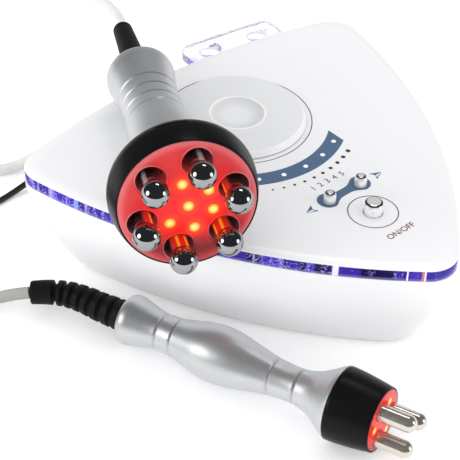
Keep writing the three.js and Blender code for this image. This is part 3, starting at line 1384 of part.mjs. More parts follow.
function makeSmallRelief() {
  small.updateMatrix();
  const onAxis = (at) => new THREE.Vector3(0, 0, at).applyMatrix4(small.matrix);
  const root = -SMALL_TAIL_DEPTH - GAP;
  const inside = [
    [GAP + RELIEF_FLANGE_THICKNESS, RELIEF_FLANGE_R],
    [GAP, RELIEF_FLANGE_R],
    [GAP, RELIEF_NECK_R],
    [root, RELIEF_NECK_R],
    [root, SMALL_RELIEF_ROOT_R],
  ];
  const points = inside.map(([at]) => onAxis(at));
  const radii = inside.map(([, r]) => r);
  const straight = [0, 1, 2].map((i) => onAxis(root - i * SMALL_RELIEF_ROOT_R));
  const curve = new THREE.CatmullRomCurve3([...straight, ...vectors(SMALL_RELIEF_ROUTE)], false, 'centripetal');
  const length = curve.getLength();
  const ribs = ribPoints(length, SMALL_RELIEF_ROOT_R, SMALL_RELIEF_TIP_R, SMALL_RELIEF_RIBS, SMALL_RELIEF_GROOVE);
  for (const [r, along] of [...ribs, [SMALL_RELIEF_TIP_R - 1, length]]) {
    points.push(curve.getPointAt(along / length));
    radii.push(r);
  }
  return roundBar(points, radii, 8);
}
add(consoleGroup, 'small_strain_relief', makeSmallRelief(), blackRubber());

// Cords

// A coil's centre line: it spirals in and out again layer by layer, and climbs in the half turn round each
// reversal. A straight stretch one diameter long leads in and out
function coilLine({ x, y, innerR, turnsPerLayer, layers, startDeg, sense }, diameter, stepsPerTurn) {
  const pitch = diameter + COIL_TURN_GAP;
  const outerR = innerR + pitch * turnsPerLayer;
  const span = 2 * Math.PI * turnsPerLayer;
  const steps = Math.round(turnsPerLayer * layers * stepsPerTurn);
  const points = [];
  for (let i = 0; i <= steps; i += 1) {
    const turn = (span * layers * i) / steps;
    const layer = Math.min(Math.floor(turn / span), layers - 1);
    const shift = (pitch * (turn - layer * span)) / (2 * Math.PI);
    const r = layer % 2 === 0 ? outerR - shift : innerR + shift;
    let z = diameter / 2;
    for (let k = 1; k < layers; k += 1) {
      z += (diameter + COIL_LAYER_GAP) * THREE.MathUtils.clamp((turn - k * span) / Math.PI + 0.5, 0, 1);
    }
    const angle = rad(startDeg) + sense * turn;
    points.push(new THREE.Vector3(x + r * Math.cos(angle), y + r * Math.sin(angle), z));
  }
  const straight = (end, angle, way) => {
    const ahead = new THREE.Vector3(-Math.sin(angle), Math.cos(angle), 0);
    return end.clone().addScaledVector(ahead, sense * way * diameter);
  };
  points.unshift(straight(points[0], rad(startDeg), -1));
  points.push(straight(points[points.length - 1], rad(startDeg) + sense * span * layers, 1));
  return points;
}

// The least gap between a coil's turns, measured between points half a turn or more apart
function leastGap(points, diameter, stepsPerTurn) {
  let least = Infinity;
  for (let i = 0; i < points.length; i += 1) {
    for (let j = i + stepsPerTurn / 2; j < points.length; j += 1) {
      least = Math.min(least, points[i].distanceTo(points[j]) - diameter);
    }
  }
  return least;
}

function lineLength(points) {
  return points.slice(1).reduce((sum, point, i) => sum + point.distanceTo(points[i]), 0);
}

function addCoil(name, coil, diameter, material) {
  const fineSteps = coil.loopSteps * 3;
  const fine = coilLine(coil, diameter, fineSteps);
  const gap = leastGap(fine, diameter, fineSteps);
  console.log(`${name}: length ${lineLength(fine).toFixed(1)} mm, least gap to itself ${gap.toFixed(2)} mm`);
  const line = coilLine(coil, diameter, coil.loopSteps);
  const radii = line.map(() => diameter / 2);
  add(consoleGroup, name, roundBar(line, radii, LOOP_SIDES), material);
}

// A free stretch of cord along points chosen by hand
function addStretch(name, route, diameter, material) {
  const curve = new THREE.CatmullRomCurve3(vectors(route), false, 'centripetal');
  const length = curve.getLength();
  console.log(`${name}: length ${length.toFixed(1)} mm`);
  const steps = Math.round(length / (2.5 * diameter));
  const section = shapeOf(circlePoints(diameter / 2, 8));
  const geometry = new THREE.ExtrudeGeometry(section, { steps, extrudePath: curve, bevelEnabled: false });
  add(consoleGroup, name, outward(geometry), material);
}

const LARGE_CORD_OUT = [
  [-3.2, 96.8, 75.9],
  [1.6, 105.6, 74.9],
  [5.6, 115, 73.6],
  [8.6, 126, 72.4],
  [10.4, 138, 71.2],
  [9.4, 152, 69.6],
  [5, 167, 67.6],
  [-5.5, 181, 65.3],
  [-19, 194, 61],
  [-33, 204.5, 54],
  [-47, 213, 45],
  [-61, 219.5, 34.5],
  [-75, 224, 24],
  [-90, 226, 14],
  [-105, 227.8, 7.6],
  [-120, 227.6, 4.2],
  [-132.5, 226.2, 3.3],
  [-143.3, 225.925, 3.2],
];
const LARGE_CORD_BACK = [
  [-143.3, 143.075, 10.2],
  [-132, 143, 9.3],
  [-121, 141, 6.6],
  [-111, 136.5, 4.3],
  [-102.5, 130, 3.4],
  [-95, 121.5, 3.4],
  [-86.5, 113.5, 3.4],
  [-76, 108, 4.2],
  [-65, 105, 7],
  [-55.5, 102, 11],
  [-48, 97, 15.2],
  [-43.4, 90.5, 18.6],
  [-42, 84, 19.9],
  [-42, 77.95, 20],
];
const SMALL_CORD_OUT = [
  [-137.45, 5.89, 10.76],
  [-143.8, 11.3, 9.3],
  [-152, 17.6, 6.9],
  [-161, 24.8, 4.8],
  [-170, 33, 3.6],
  [-180, 42.3, 3.35],
  [-191, 51.6, 3.35],
  [-203.5, 59.8, 3.35],
  [-216, 64.4, 3.3],
  [-225.3, 64.975, 3.2],
];
const POWER_LEAD_OUT = [
  [-66, 67.9, 20],
  [-66.1, 75.5, 19.2],
  [-68.5, 82.8, 15],
  [-73.5, 87.8, 9.2],
  [-81.5, 90, 4.4],
  [-92, 90, 2.2],
  [-104, 88.9, 1.85],
  [-120, 87.9, 1.85],
  [-134, 87.6, 1.85],
  [-146.2, 87.55, 1.75],
];
addStretch('large_cord_out', LARGE_CORD_OUT, HANDSET_CORD_D, whiteCord());
addCoil('large_cord_coil', LARGE_COIL, HANDSET_CORD_D, whiteCord());
addStretch('large_cord_back', LARGE_CORD_BACK, HANDSET_CORD_D, whiteCord());
addStretch('small_cord_out', SMALL_CORD_OUT, HANDSET_CORD_D, greyCord());
addCoil('small_cord_coil', SMALL_COIL, HANDSET_CORD_D, greyCord());
addStretch('power_lead_out', POWER_LEAD_OUT, POWER_LEAD_D, blackRubber());
addCoil('power_lead_coil', POWER_COIL, POWER_LEAD_D, blackRubber());

// Plugs

// A plug about Z with its nose downwards, its body from z 0 up and its strain relief on top
function makePlug(noseR, noseLength, bodyR, bodyLength, reliefR, reliefLength, cordR) {
  const end = bodyLength + reliefLength;
  const tipR = cordR + PLUG_RELIEF_WALL;
  const profile = [
    [0, -noseLength],
    [noseR, -noseLength],
    [noseR, 0],
    [bodyR - 0.8, 0],
    [bodyR, 0.8],
    [bodyR, bodyLength * 0.55],
    [bodyR - 0.7, bodyLength * 0.62],
    [bodyR - 0.4, bodyLength - 1],
    [reliefR, bodyLength],
    [tipR, end],
    [0, end],
  ];
  return turned(profile, SMALL_ROUND);
}

function makeHandsetPlug() {
  return makePlug(
    SOCKET_BORE_R - GAP,
    PLUG_NOSE_LENGTH,
    PLUG_R,
    PLUG_BODY_LENGTH,
    PLUG_RELIEF_R,
    PLUG_RELIEF_LENGTH,
    HANDSET_CORD_D / 2,
  );
}

function seatPlug(plug, x) {
  plug.rotateX(-Math.PI / 2);
  plug.translate(x, SOCKET_FACE_Y + GAP, CONNECTOR_Z);
  return plug;
}

// The small handset's plug lies beside its coil: the coil holds up its cord end and its front rim is on the table
function makeLyingPlug() {
  const outerR = SMALL_COIL.innerR + (HANDSET_CORD_D + COIL_TURN_GAP) * SMALL_COIL.turnsPerLayer;
  const cordEndZ = HANDSET_CORD_D / 2 + (HANDSET_CORD_D + COIL_LAYER_GAP) * (SMALL_COIL.layers - 1);
  const length = PLUG_BODY_LENGTH + PLUG_RELIEF_LENGTH;
  const tilt = Math.asin((cordEndZ - PLUG_R - TABLE_GAP) / length);
  const plug = makeHandsetPlug();
  plug.translate(0, 0, -length);
  plug.rotateY(-Math.PI / 2 - tilt);
  plug.translate(SMALL_COIL.x + HANDSET_CORD_D + GAP, SMALL_COIL.y - outerR, cordEndZ);
  return plug;
}

const powerPlug = makePlug(
  JACK_BORE_R - GAP,
  BARREL_NOSE_LENGTH,
  BARREL_PLUG_R,
  BARREL_BODY_LENGTH,
  BARREL_RELIEF_R,
  BARREL_RELIEF_LENGTH,
  POWER_LEAD_D / 2,
);
add(consoleGroup, 'large_cord_plug', seatPlug(makeHandsetPlug(), LARGE_SOCKET_X), blackGloss());
add(consoleGroup, 'small_cord_plug', makeLyingPlug(), blackGloss());
add(consoleGroup, 'power_lead_plug', seatPlug(powerPlug, POWER_JACK_X), blackGloss());

// Wall adapter: a rounded block on the table with the lead's strain relief at one end and two pins at the other
function makeAdapter() {
  const coilOuterR = POWER_COIL.innerR + (POWER_LEAD_D + COIL_TURN_GAP) * POWER_COIL.turnsPerLayer;
  const leadY = POWER_COIL.y - coilOuterR;
  const leadZ = POWER_LEAD_D / 2 + (POWER_LEAD_D + COIL_LAYER_GAP) * (POWER_COIL.layers - 1);
  const middleZ = ADAPTER_HEIGHT / 2 + TABLE_GAP;
  const reliefStart = POWER_COIL.x - POWER_LEAD_D - GAP;
  const left = reliefStart - ADAPTER_RELIEF_LENGTH - ADAPTER_LENGTH;
  const cornerX = ADAPTER_WIDTH / 2 - ADAPTER_ROUND;
  const cornerZ = ADAPTER_HEIGHT / 2 - ADAPTER_ROUND;
  const quarter = Math.PI / 2;
  const outline = [
    ...arcPoints([cornerX, cornerZ], ADAPTER_ROUND, 0, quarter, 3),
    [cornerX, ADAPTER_HEIGHT / 2],
    ...arcPoints([-cornerX, cornerZ], ADAPTER_ROUND, quarter, 2 * quarter, 3),
    [-ADAPTER_WIDTH / 2, cornerZ],
    ...arcPoints([-cornerX, -cornerZ], ADAPTER_ROUND, 2 * quarter, 3 * quarter, 3),
    [-cornerX, -ADAPTER_HEIGHT / 2],
    ...arcPoints([cornerX, -cornerZ], ADAPTER_ROUND, 3 * quarter, 4 * quarter, 3),
    [ADAPTER_WIDTH / 2, -cornerZ],
  ];
  const body = new THREE.ExtrudeGeometry(shapeOf(outline), { depth: ADAPTER_LENGTH, bevelEnabled: false });
  body.rotateX(quarter);
  body.rotateZ(quarter);
  body.translate(left, leadY, middleZ);
  const lengthways = (geometry, x, y, z) => {
    geometry.rotateZ(quarter);
    geometry.translate(x, y, z);
    return geometry;
  };
  const reliefLength = ADAPTER_RELIEF_LENGTH + OVERRUN;
  const tipR = POWER_LEAD_D / 2 + PLUG_RELIEF_WALL;
  const relief = new THREE.CylinderGeometry(ADAPTER_RELIEF_R, tipR, reliefLength, SMALL_ROUND);
  const joined = [lengthways(relief, reliefStart - reliefLength / 2, leadY, leadZ)];
  for (const way of [-1, 1]) {
    const pinLength = ADAPTER_PIN_LENGTH + OVERRUN;
    const pin = new THREE.CylinderGeometry(ADAPTER_PIN_R, ADAPTER_PIN_R, pinLength, 10);
    const y = leadY + (way * ADAPTER_PIN_SPACING) / 2;
    joined.push(lengthways(pin, left + OVERRUN - pinLength / 2, y, middleZ));
  }
  return carve(body, joined, []);
}
add(consoleGroup, 'wall_adapter', makeAdapter(), blackGloss());

export default machine;
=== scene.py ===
"""A radio frequency beauty machine, dressed: console, two handsets, their cords and the power lead."""

import math

import bmesh
import bpy
import numpy as np
from mathutils import Matrix, Vector


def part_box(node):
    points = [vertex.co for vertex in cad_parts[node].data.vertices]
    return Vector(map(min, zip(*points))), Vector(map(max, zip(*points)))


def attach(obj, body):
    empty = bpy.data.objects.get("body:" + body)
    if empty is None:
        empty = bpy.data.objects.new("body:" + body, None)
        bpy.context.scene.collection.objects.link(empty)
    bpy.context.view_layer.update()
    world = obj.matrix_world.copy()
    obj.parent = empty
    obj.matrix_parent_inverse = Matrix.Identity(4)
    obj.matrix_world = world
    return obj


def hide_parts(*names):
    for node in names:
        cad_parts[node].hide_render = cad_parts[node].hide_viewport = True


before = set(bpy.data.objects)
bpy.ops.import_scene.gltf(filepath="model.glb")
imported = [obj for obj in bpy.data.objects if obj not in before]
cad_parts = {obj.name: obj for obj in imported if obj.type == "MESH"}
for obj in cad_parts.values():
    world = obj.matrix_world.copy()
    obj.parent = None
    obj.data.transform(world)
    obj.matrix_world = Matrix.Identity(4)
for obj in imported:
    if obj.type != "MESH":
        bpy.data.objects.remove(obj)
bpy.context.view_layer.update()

# Lengths are in millimetres until a mesh is made
MM = 0.001


def centre_of(node):
    """Middle of a CAD node's box, in millimetres."""
    low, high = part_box(node)
    return (np.array(low) + np.array(high)) / 2 / MM


def top_of(node):
    """Height of a CAD node's top, in millimetres."""
    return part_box(node)[1].z / MM


def bottom_of(node):
    """Height of a CAD node's foot, in millimetres."""
    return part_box(node)[0].z / MM


# Console frame: its origin is below the middle of the dial
CONSOLE = np.array([*centre_of("dial")[:2], 0.0])
LID_TOP = top_of("lid")
LID_EDGE = top_of("light_band")
BAND_BOTTOM = bottom_of("light_band")
HULL_BOTTOM = bottom_of("base_shell")
DIAL_TOP = top_of("dial")

# Console outline: a triangle of arcs with its front corner towards -Y
HALF_WIDTH = 116.9
FRONT_Y = -158.2
BACK_Y = 59.4
FRONT_CORNER_R = 15.9
BACK_CORNER_R = 16
SIDE_ARC_R = 329.4
BACK_ARC_R = 392.9

# Lid, band and hull
LID_RIM_WIDTH = 7
LID_THICKNESS = 2.4
LIP_DEPTH = 8.5
LIP_WALL = 2
BAND_WIDTH = 3.2
CLEARANCE = 0.3
HULL_DRAW_IN = 21.5
HULL_CURVE = 1.83
HULL_CORNER_GROWTH = 4
HULL_WALL = 2.4
HULL_FLOOR = 2.6
HULL_FOOT_ROUND = 2.2
FOOT_R = 7

# Dial and buttons
DIAL_R = 38
DISH_R = 14.6
DISH_DEPTH = 2.1
DIAL_BEVEL = 1.9
POWER_BUTTON = (0, -104.7, 4.8)
INTENSITY_BUTTONS = {"down": (-11.1, -84.4, 3.3), "up": (11.1, -84.4, 3.3)}

# Rear connectors
PANEL_Y = 41
CONNECTOR_Z = 20
POWER_JACK_X = -66
LARGE_SOCKET_X = -42
SMALL_SOCKET_X = -17
JACK_R = 4.6
SOCKET_R = 7
POCKET_MARGIN = 13
SOCKET_FACE_Y = PANEL_Y + CLEARANCE + 2

# The band's stretches, as (middle, half width) in millimetres from the front corner, the same on both sides
BAND_DEEP = [(5.5, 6.5), (51, 3.2), (104, 6), (150, 20)]
BAND_DARK = [(37.5, 9.4), (63.5, 4.6), (73.5, 1.6), (83, 1.2), (98, 4), (130, 6), (160, 8)]
BAND_LIVELY = [(60, 5), (26, 3), (84, 20), (205, 30)]
# The white stretches are painted glints
BAND_WHITE_GLINTS = [(57.3, 1.7), (13.3, 0.7), (22, 0.5)]
BAND_PALE = [(98, 0.6), (191, 1.0), (214, 1.4), (222, 1.0), (236, 1.4)]
BAND_ORANGE = [(14.3, 0.8)]
BAND_CYAN = [(197, 2.2)]

# The band's lamps' glow as seen in the holder, painted on it, as (x, y, reach)
HOLDER_PAINTED_GLOWS = [(20.5, 62, 4), (33.5, 60.5, 3.5), (40.5, 62.5, 3), (66, 56.5, 3.2)]

# Print on the lid
PRINT_THICKNESS = 0.06
CAPITAL_SHARE = 0.73
DIAL_RING_R = 41
SCALE_DOT_RING_R = 65.16
SCALE_DOT_FIRST = -65.98
SCALE_DOT_STEP = -5.43
LEVEL_BAR = (50.4, 60.0)
LEVEL_BAR_HALF = 31.4
POWER_RING_R = 12.97
POWER_RING_Y = -104.69

# The right arrowhead's strips, each between two edges: its filled upper half, its lower edge and its back edge
ARROW_STRIPS = [
    ([(27, -83.9), (22.6, -83.9)], [(27, -83.88), (20.9, -80.9)]),
    ([(27, -84.1), (20.9, -86.9)], [(27, -84.0), (21.45, -85.85)]),
    ([(20.9, -86.9), (22.6, -83.9)], [(21.45, -86.5), (23.05, -83.9)]),
]

# Handsets: where each lies, its heading and its tilt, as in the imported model
LARGE_PLACE = (CONSOLE[0] - 97.3, CONSOLE[1] - 74.2, 98.947)
LARGE_YAW, LARGE_TILT = -118.8, 6.925
SMALL_PLACE = (CONSOLE[0] - 110.8, CONSOLE[1] - 47, 13.687)
SMALL_YAW, SMALL_TILT = -72.1, 2.535

# Large handset's lens and electrodes
LARGE_LENS_R = 33.6
LARGE_LENS_CROWN = 1.6
LARGE_LENS_EDGE = 1.0
ELECTRODE_RING_R = 23.2
ELECTRODE_PHASE = 18.3
ELECTRODE_BALL_R = 6.85
ELECTRODE_BALL_OUT = 12.6
ELECTRODE_NECK_R = 5.0
WELL_R = 7.5
WELL_DEPTH = 9.5
LARGE_LAMPS = [(0.0, 0.0)] + [
    (12.4 * math.cos(math.radians(a)), 12.4 * math.sin(math.radians(a))) for a in (103, 37, -15, -77, -137)
]

# Small handset's lens and pins
SMALL_FACE = 142.9
SMALL_LENS_R = 15.6
PIN_RING_R = 8.9
PIN_PHASE = 112.6
PIN_R = 4.3
PIN_OUT = 18.8

# Plugs and wall adapter
PLUG_R = 7.2
PLUG_BODY = 18
PLUG_RELIEF = 16
ADAPTER_LENGTH = 58
ADAPTER_HALF_WIDTH = 17
ADAPTER_HALF_HEIGHT = 13.8
ADAPTER_JOINT_AT = 31
ADAPTER_END_ROUND = 2.6
ADAPTER_RELIEF = 22.5
ADAPTER_RELIEF_R = 4
ADAPTER_PIN_OFFSET = 9.3

# Cords
HANDSET_CORD_D = 6.4
POWER_LEAD_D = 3.5
COIL_TURN_GAP = 0.7
COIL_LAYER_GAP = 0.6


# Meshes


def grid_faces(rows, columns, wrap_rows=False):
    """Quads of a grid of points: (i, j), (i, j+1), (i+1, j+1), (i+1, j). The last column meets the first, and so
    may the last row."""
    i, j = np.meshgrid(np.arange(rows if wrap_rows else rows - 1), np.arange(columns), indexing="ij")
    i2 = (i + 1) % rows
    j2 = (j + 1) % columns
    quads = np.stack([i * columns + j, i * columns + j2, i2 * columns + j2, i2 * columns + j], -1)
    return quads.reshape(-1, 4).tolist()


def together(parts):
    """Several (points, faces) as one."""
    points, faces, start = [], [], 0
    for part_points, part_faces in parts:
        points.append(np.asarray(part_points).reshape(-1, 3))
        faces.extend([[corner + start for corner in face] for face in part_faces])
        start += len(points[-1])
    return np.concatenate(points), faces


def tidy_mesh(mesh, sharp=32):
    """Closes seams and poles, turns faces outwards and shades smooth up to an angle."""
    work = bmesh.new()
    work.from_mesh(mesh)
    bmesh.ops.remove_doubles(work, verts=work.verts, dist=1e-7)
    bmesh.ops.recalc_face_normals(work, faces=work.faces)
    work.to_mesh(mesh)
    work.free()
    mesh.shade_smooth()
    mesh.set_sharp_from_angle(angle=math.radians(sharp))


def in_scene(name, data):
    """A new object that holds the data."""
    made = bpy.data.objects.new(name, data)
    bpy.context.scene.collection.objects.link(made)
    return made


def mesh_object(name, surface, place=None, sharp=32):
    """An object from (points in mm, faces), its points carried by a placing function."""
    points, faces = surface
    points = np.asarray(points, float).reshape(-1, 3)
    if place is not None:
        points = place(points)
    mesh = bpy.data.meshes.new(name)
    mesh.from_pydata((points * MM).tolist(), [], faces)
    tidy_mesh(mesh, sharp)
    return in_scene(name, mesh)


def dress(piece, material, body, nodes=()):
    """Gives a piece its material and body, and hides the CAD nodes it stands for."""
    piece.data.materials.clear()
    piece.data.materials.append(material)
    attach(piece, body)
    if nodes:
        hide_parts(*nodes)
    return piece


def combine(base, tools, operation="DIFFERENCE", sharp=32):
    """The base cut by, joined to or kept within each tool in turn. The tools are used up."""
    for tool in tools:
        step = base.modifiers.new(tool.name, "BOOLEAN")
        step.operation = operation
        step.solver = "EXACT"
        step.object = tool
    bpy.context.view_layer.update()
    seen = base.evaluated_get(bpy.context.evaluated_depsgraph_get())
    mesh = bpy.data.meshes.new_from_object(seen)
    base.modifiers.clear()
    old = base.data
    base.data = mesh
    bpy.data.meshes.remove(old)
    for tool in tools:
        bpy.data.objects.remove(tool)
    tidy_mesh(base.data, sharp)
    return base


# Lines and profiles


def spline(points, per_span=12):
    """Centripetal Catmull-Rom curve through the points, whose end tangents run on from the first and last span."""
    p = np.asarray(points, float)
    p = np.vstack([2 * p[0] - p[1], p, 2 * p[-1] - p[-2]])
    a, b, c, d = p[:-3, None], p[1:-2, None], p[2:-1, None], p[3:, None]
    ab, bc, cd = (np.sqrt(np.linalg.norm(v - u, axis=-1, keepdims=True)) for u, v in ((a, b), (b, c), (c, d)))
    start = ((b - a) / ab - (c - a) / (ab + bc) + (c - b) / bc) * bc
    end = ((c - b) / bc - (d - b) / (bc + cd) + (d - c) / cd) * bc
    t = (np.arange(per_span) / per_span)[None, :, None]
    curve = b + start * t + (3 * (c - b) - 2 * start - end) * t**2 + (2 * (b - c) + start + end) * t**3
    return np.vstack([curve.reshape(-1, p.shape[1]), p[-2]])


def softened(profile, radius, steps=4):
    """The profile with its corners rounded: each runs on (1-t)^2 a + 2t(1-t) corner + t^2 b, where a and b lie on
    its two sides, a radius from the corner or at most 45% of the way along."""
    p = np.asarray(profile, float)
    rows = [p[:1]]
    t = np.linspace(0, 1, steps + 1)[:, None]
    for before, corner, after in zip(p[:-2], p[1:-1], p[2:]):
        back, ahead = before - corner, after - corner
        near_a = corner + back * min(0.45, radius / max(np.linalg.norm(back), 1e-6))
        near_b = corner + ahead * min(0.45, radius / max(np.linalg.norm(ahead), 1e-6))
        rows.append((1 - t) ** 2 * near_a + 2 * t * (1 - t) * corner + t**2 * near_b)
    rows.append(p[-1:])
    return np.concatenate(rows)


def turned(profile, sides=96):
    """A profile of (radius, height) turned about Z: x = r cos a, y = r sin a, z = height."""
    profile = np.asarray(profile, float)
    angle = np.linspace(0, 2 * np.pi, sides, endpoint=False)
    r, z = profile[:, 0, None], profile[:, 1, None]
    points = np.stack([r * np.cos(angle), r * np.sin(angle), z + 0 * angle], -1)
    return points.reshape(-1, 3), grid_faces(len(profile), sides)


def turned_at(profile, sides, x, y, z=0):
    """As turned, about an upright axis through x, y, and raised by z."""
    points, faces = turned(profile, sides)
    return points + [x, y, z], faces


def turned_ring(loop, sides=96):
    """A closed loop of (radius, height) turned about Z."""
    points, _ = turned(loop, sides)
    return points, grid_faces(len(loop), sides, wrap_rows=True)


def ring_places(radius, count, phase):
    """Places spread evenly round a circle, the first at the phase, in degrees."""
    angle = np.radians(phase + 360 * np.arange(count) / count)
    return np.stack([radius * np.cos(angle), radius * np.sin(angle)], -1)


def grooved(radius_at, start, end, grooves, step=1.0):
    """Rows (radius, station) of a turned grip: a smooth radius less V grooves, r - depth (1 - |s - at| / half)."""
    stations = [np.arange(start, end, step), [end]]
    for at, half, _ in grooves:
        stations.append(np.linspace(at - half * 1.3, at + half * 1.3, 9))
    s = np.unique(np.round(np.concatenate(stations), 4))
    r = radius_at(s)
    for at, half, depth in grooves:
        r = r - depth * np.clip(1 - np.abs(s - at) / half, 0, 1)
    return np.stack([r, s], -1)


def smooth_radius(stations):
    """A function radius(station) on a spline through (station, radius) points."""
    line = spline(stations, 24)

    def radius_at(station):
        return np.interp(station, line[:, 0], line[:, 1])

    return radius_at


def swept(path, radii, sides=48):
    """A round bar along a nearly level path: at each point a circle p + r (cos a side + sin a rise)."""
    path = np.asarray(path, float)
    ahead = np.gradient(path, axis=0)
    ahead /= np.linalg.norm(ahead, axis=1, keepdims=True)
    side = np.cross(ahead, [0, 0, 1])
    side /= np.linalg.norm(side, axis=1, keepdims=True)
    rise = np.cross(side, ahead)
    angle = np.linspace(0, 2 * np.pi, sides, endpoint=False)[None, :, None]
    r = np.asarray(radii, float)[:, None, None]
    rings = path[:, None] + r * (np.cos(angle) * side[:, None] + np.sin(angle) * rise[:, None])
    return rings.reshape(-1, 3), grid_faces(len(path), sides)


def barred_faces(count):
    """Faces of a bar with a four-cornered section at each of its stations, closed at both ends."""
    last = 4 * count
    return grid_faces(count, 4) + [[3, 2, 1, 0], [last - 4, last - 3, last - 2, last - 1]]


def strip(low_edge, high_edge, z0, z1):
    """A flat plate between two edges of equally many (x, y) points, from z0 to z1."""
    low, high = np.asarray(low_edge, float), np.asarray(high_edge, float)
    n = len(low)
    corners = ((low, z0), (high, z0), (high, z1), (low, z1))
    section = np.stack([np.c_[edge, np.full(n, z)] for edge, z in corners], 1)
    return section.reshape(-1, 3), barred_faces(n)


def ring_plate(inner, outer, x, y, z0, z1, sides):
    """A flat ring about (x, y) between two radii, from z0 to z1."""
    loop = [(inner, z0), (outer, z0), (outer, z1), (inner, z1)]
    points, faces = turned_ring(loop, sides)
    return points + np.array([x, y, 0]), faces


def on_console(points):
    """Carries points from the console's frame."""
    return points + CONSOLE


def facing_back(x, y):
    """Carries points from a connector's frame, whose +Z looks out of the console's back, to its place."""

    def carry(points):
        return points[:, [0, 2, 1]] * [1, 1, -1] + CONSOLE + [x, y, CONNECTOR_Z]

    return carry


def moved(x, y):
    """Carries points sideways."""

    def carry(points):
        return points + [x, y, 0]

    return carry


def handset_axes(yaw, tilt):
    """A handset's own axes from its heading and tilt: +X level, +Y uppermost and +Z out of its face."""
    yaw, tilt = math.radians(yaw), math.radians(tilt)
    nose = np.array([math.cos(tilt) * math.cos(yaw), math.cos(tilt) * math.sin(yaw), math.sin(tilt)])
    level = np.cross([0, 0, 1], nose)
    level /= np.linalg.norm(level)
    return np.stack([level, np.cross(nose, level), nose])


def handset_turn(yaw, tilt):
    """Euler angles of a handset's own axes."""
    return Matrix(handset_axes(yaw, tilt).tolist()).transposed().to_euler()


def handset_place(place, yaw, tilt):
    """Carries points from a handset's own frame."""
    axes = handset_axes(yaw, tilt)

    def carry(points):
        return np.asarray(points) @ axes + np.array(place)

    return carry


on_large = handset_place(LARGE_PLACE, LARGE_YAW, LARGE_TILT)
on_small = handset_place(SMALL_PLACE, SMALL_YAW, SMALL_TILT)


# Shading


class Wire:
    """A socket that takes part in arithmetic: each operator adds one Math node."""

    def __init__(self, shader, socket):
        self.shader = shader
        self.socket = socket

    def __add__(self, other):
        return self.shader.maths("ADD", self, other)

    __radd__ = __add__

    def __sub__(self, other):
        return self.shader.maths("SUBTRACT", self, other)

    def __rsub__(self, other):
        return self.shader.maths("SUBTRACT", other, self)

    def __mul__(self, other):
        return self.shader.maths("MULTIPLY", self, other)

    __rmul__ = __mul__

    def __mod__(self, other):
        return self.shader.maths("MODULO", self, other)

    def __pow__(self, other):
        return self.shader.maths("POWER", self, other)

    def __abs__(self):
        return self.shader.maths("ABSOLUTE", self)

    def or_more(self, other):
        """The larger of this value and another."""
        return self.shader.maths("MAXIMUM", self, other)

    def above(self, edge, soft):
        """0 below the edge and 1 above it, over a soft width."""
        settings = {"interpolation_type": "SMOOTHSTEP"}
        inputs = {"Value": self, "From Min": edge - soft / 2, "From Max": edge + soft / 2}
        return self.shader.node("ShaderNodeMapRange", settings, inputs)


class Shader:
    """The nodes of one material or world."""

    def __init__(self, owner):
        owner.use_nodes = True
        self.owner = owner
        self.tree = owner.node_tree
        self.tree.nodes.clear()

    def node(self, kind, settings=None, inputs=None, output=0):
        """Adds a node, sets its settings and then its sockets, and returns one of its outputs."""
        made = self.tree.nodes.new(kind)
        for key, value in (settings or {}).items():
            setattr(made, key, value)
        for key, value in (inputs or {}).items():
            if isinstance(value, Wire):
                self.tree.links.new(value.socket, made.inputs[key])
            else:
                made.inputs[key].default_value = value
        return Wire(self, made.outputs[output]) if made.outputs else made

    def maths(self, operation, *values):
        """One Math node on sockets and numbers."""
        return self.node("ShaderNodeMath", {"operation": operation}, dict(enumerate(values)))

    def where(self, place=(0, 0, 0), turn=(0, 0, 0)):
        """Object coordinates, in metres, as seen from a frame at a place and with a turn."""
        coordinates = self.node("ShaderNodeTexCoord", output="Object")
        if not any(place) and not any(turn):
            return coordinates
        inputs = {"Vector": coordinates, "Location": place, "Rotation": turn}
        return self.node("ShaderNodeMapping", {"vector_type": "TEXTURE"}, inputs)

    def parts(self, vector):
        """X, Y and Z of a vector."""
        made = self.node("ShaderNodeSeparateXYZ", inputs={"Vector": vector})
        return [Wire(self, made.socket.node.outputs[k]) for k in range(3)]

    def noise(self, vector, scale, detail=3, roughness=0.5):
        """Noise between 0 and 1, whose scale counts its blobs to a metre."""
        inputs = {"Vector": vector, "Scale": scale, "Detail": detail, "Roughness": roughness}
        return self.node("ShaderNodeTexNoise", {}, inputs)

    def mix(self, factor, first, second):
        """Colour from first to second by a factor."""
        inputs = {"Factor": factor, 6: first, 7: second}
        return self.node("ShaderNodeMix", {"data_type": "RGBA"}, inputs, output=2)

    def bump(self, height, distance):
        """A normal raised by a height, with its distance in metres."""
        return self.node("ShaderNodeBump", {}, {"Height": height, "Distance": distance, "Strength": 1.0})

    def haze(self, where):
        """Where handling has dulled a bright plating: patches a few millimetres across."""
        return self.noise(where, 260, 5, 0.65).above(0.56, 0.16)

    def rays(self):
        """Whether a ray comes from the camera, from gloss or through clear plastic."""
        seen = self.node("ShaderNodeLightPath").socket.node.outputs
        return [Wire(self, seen[f"Is {kind} Ray"]) for kind in ("Camera", "Glossy", "Transmission")]

    def surface(self, **sockets):
        """The principled shader and the output, its sockets given with _ for a space. Returns the material."""
        inputs = {key.replace("_", " "): value for key, value in sockets.items()}
        bsdf = self.node("ShaderNodeBsdfPrincipled", inputs=inputs)
        self.node("ShaderNodeOutputMaterial", inputs={"Surface": bsdf})
        return self.owner


def rgba(color):
    """A colour with its full alpha."""
    return (*color, 1)


BLACK = rgba((0, 0, 0))
WHITE = rgba((1, 1, 1))


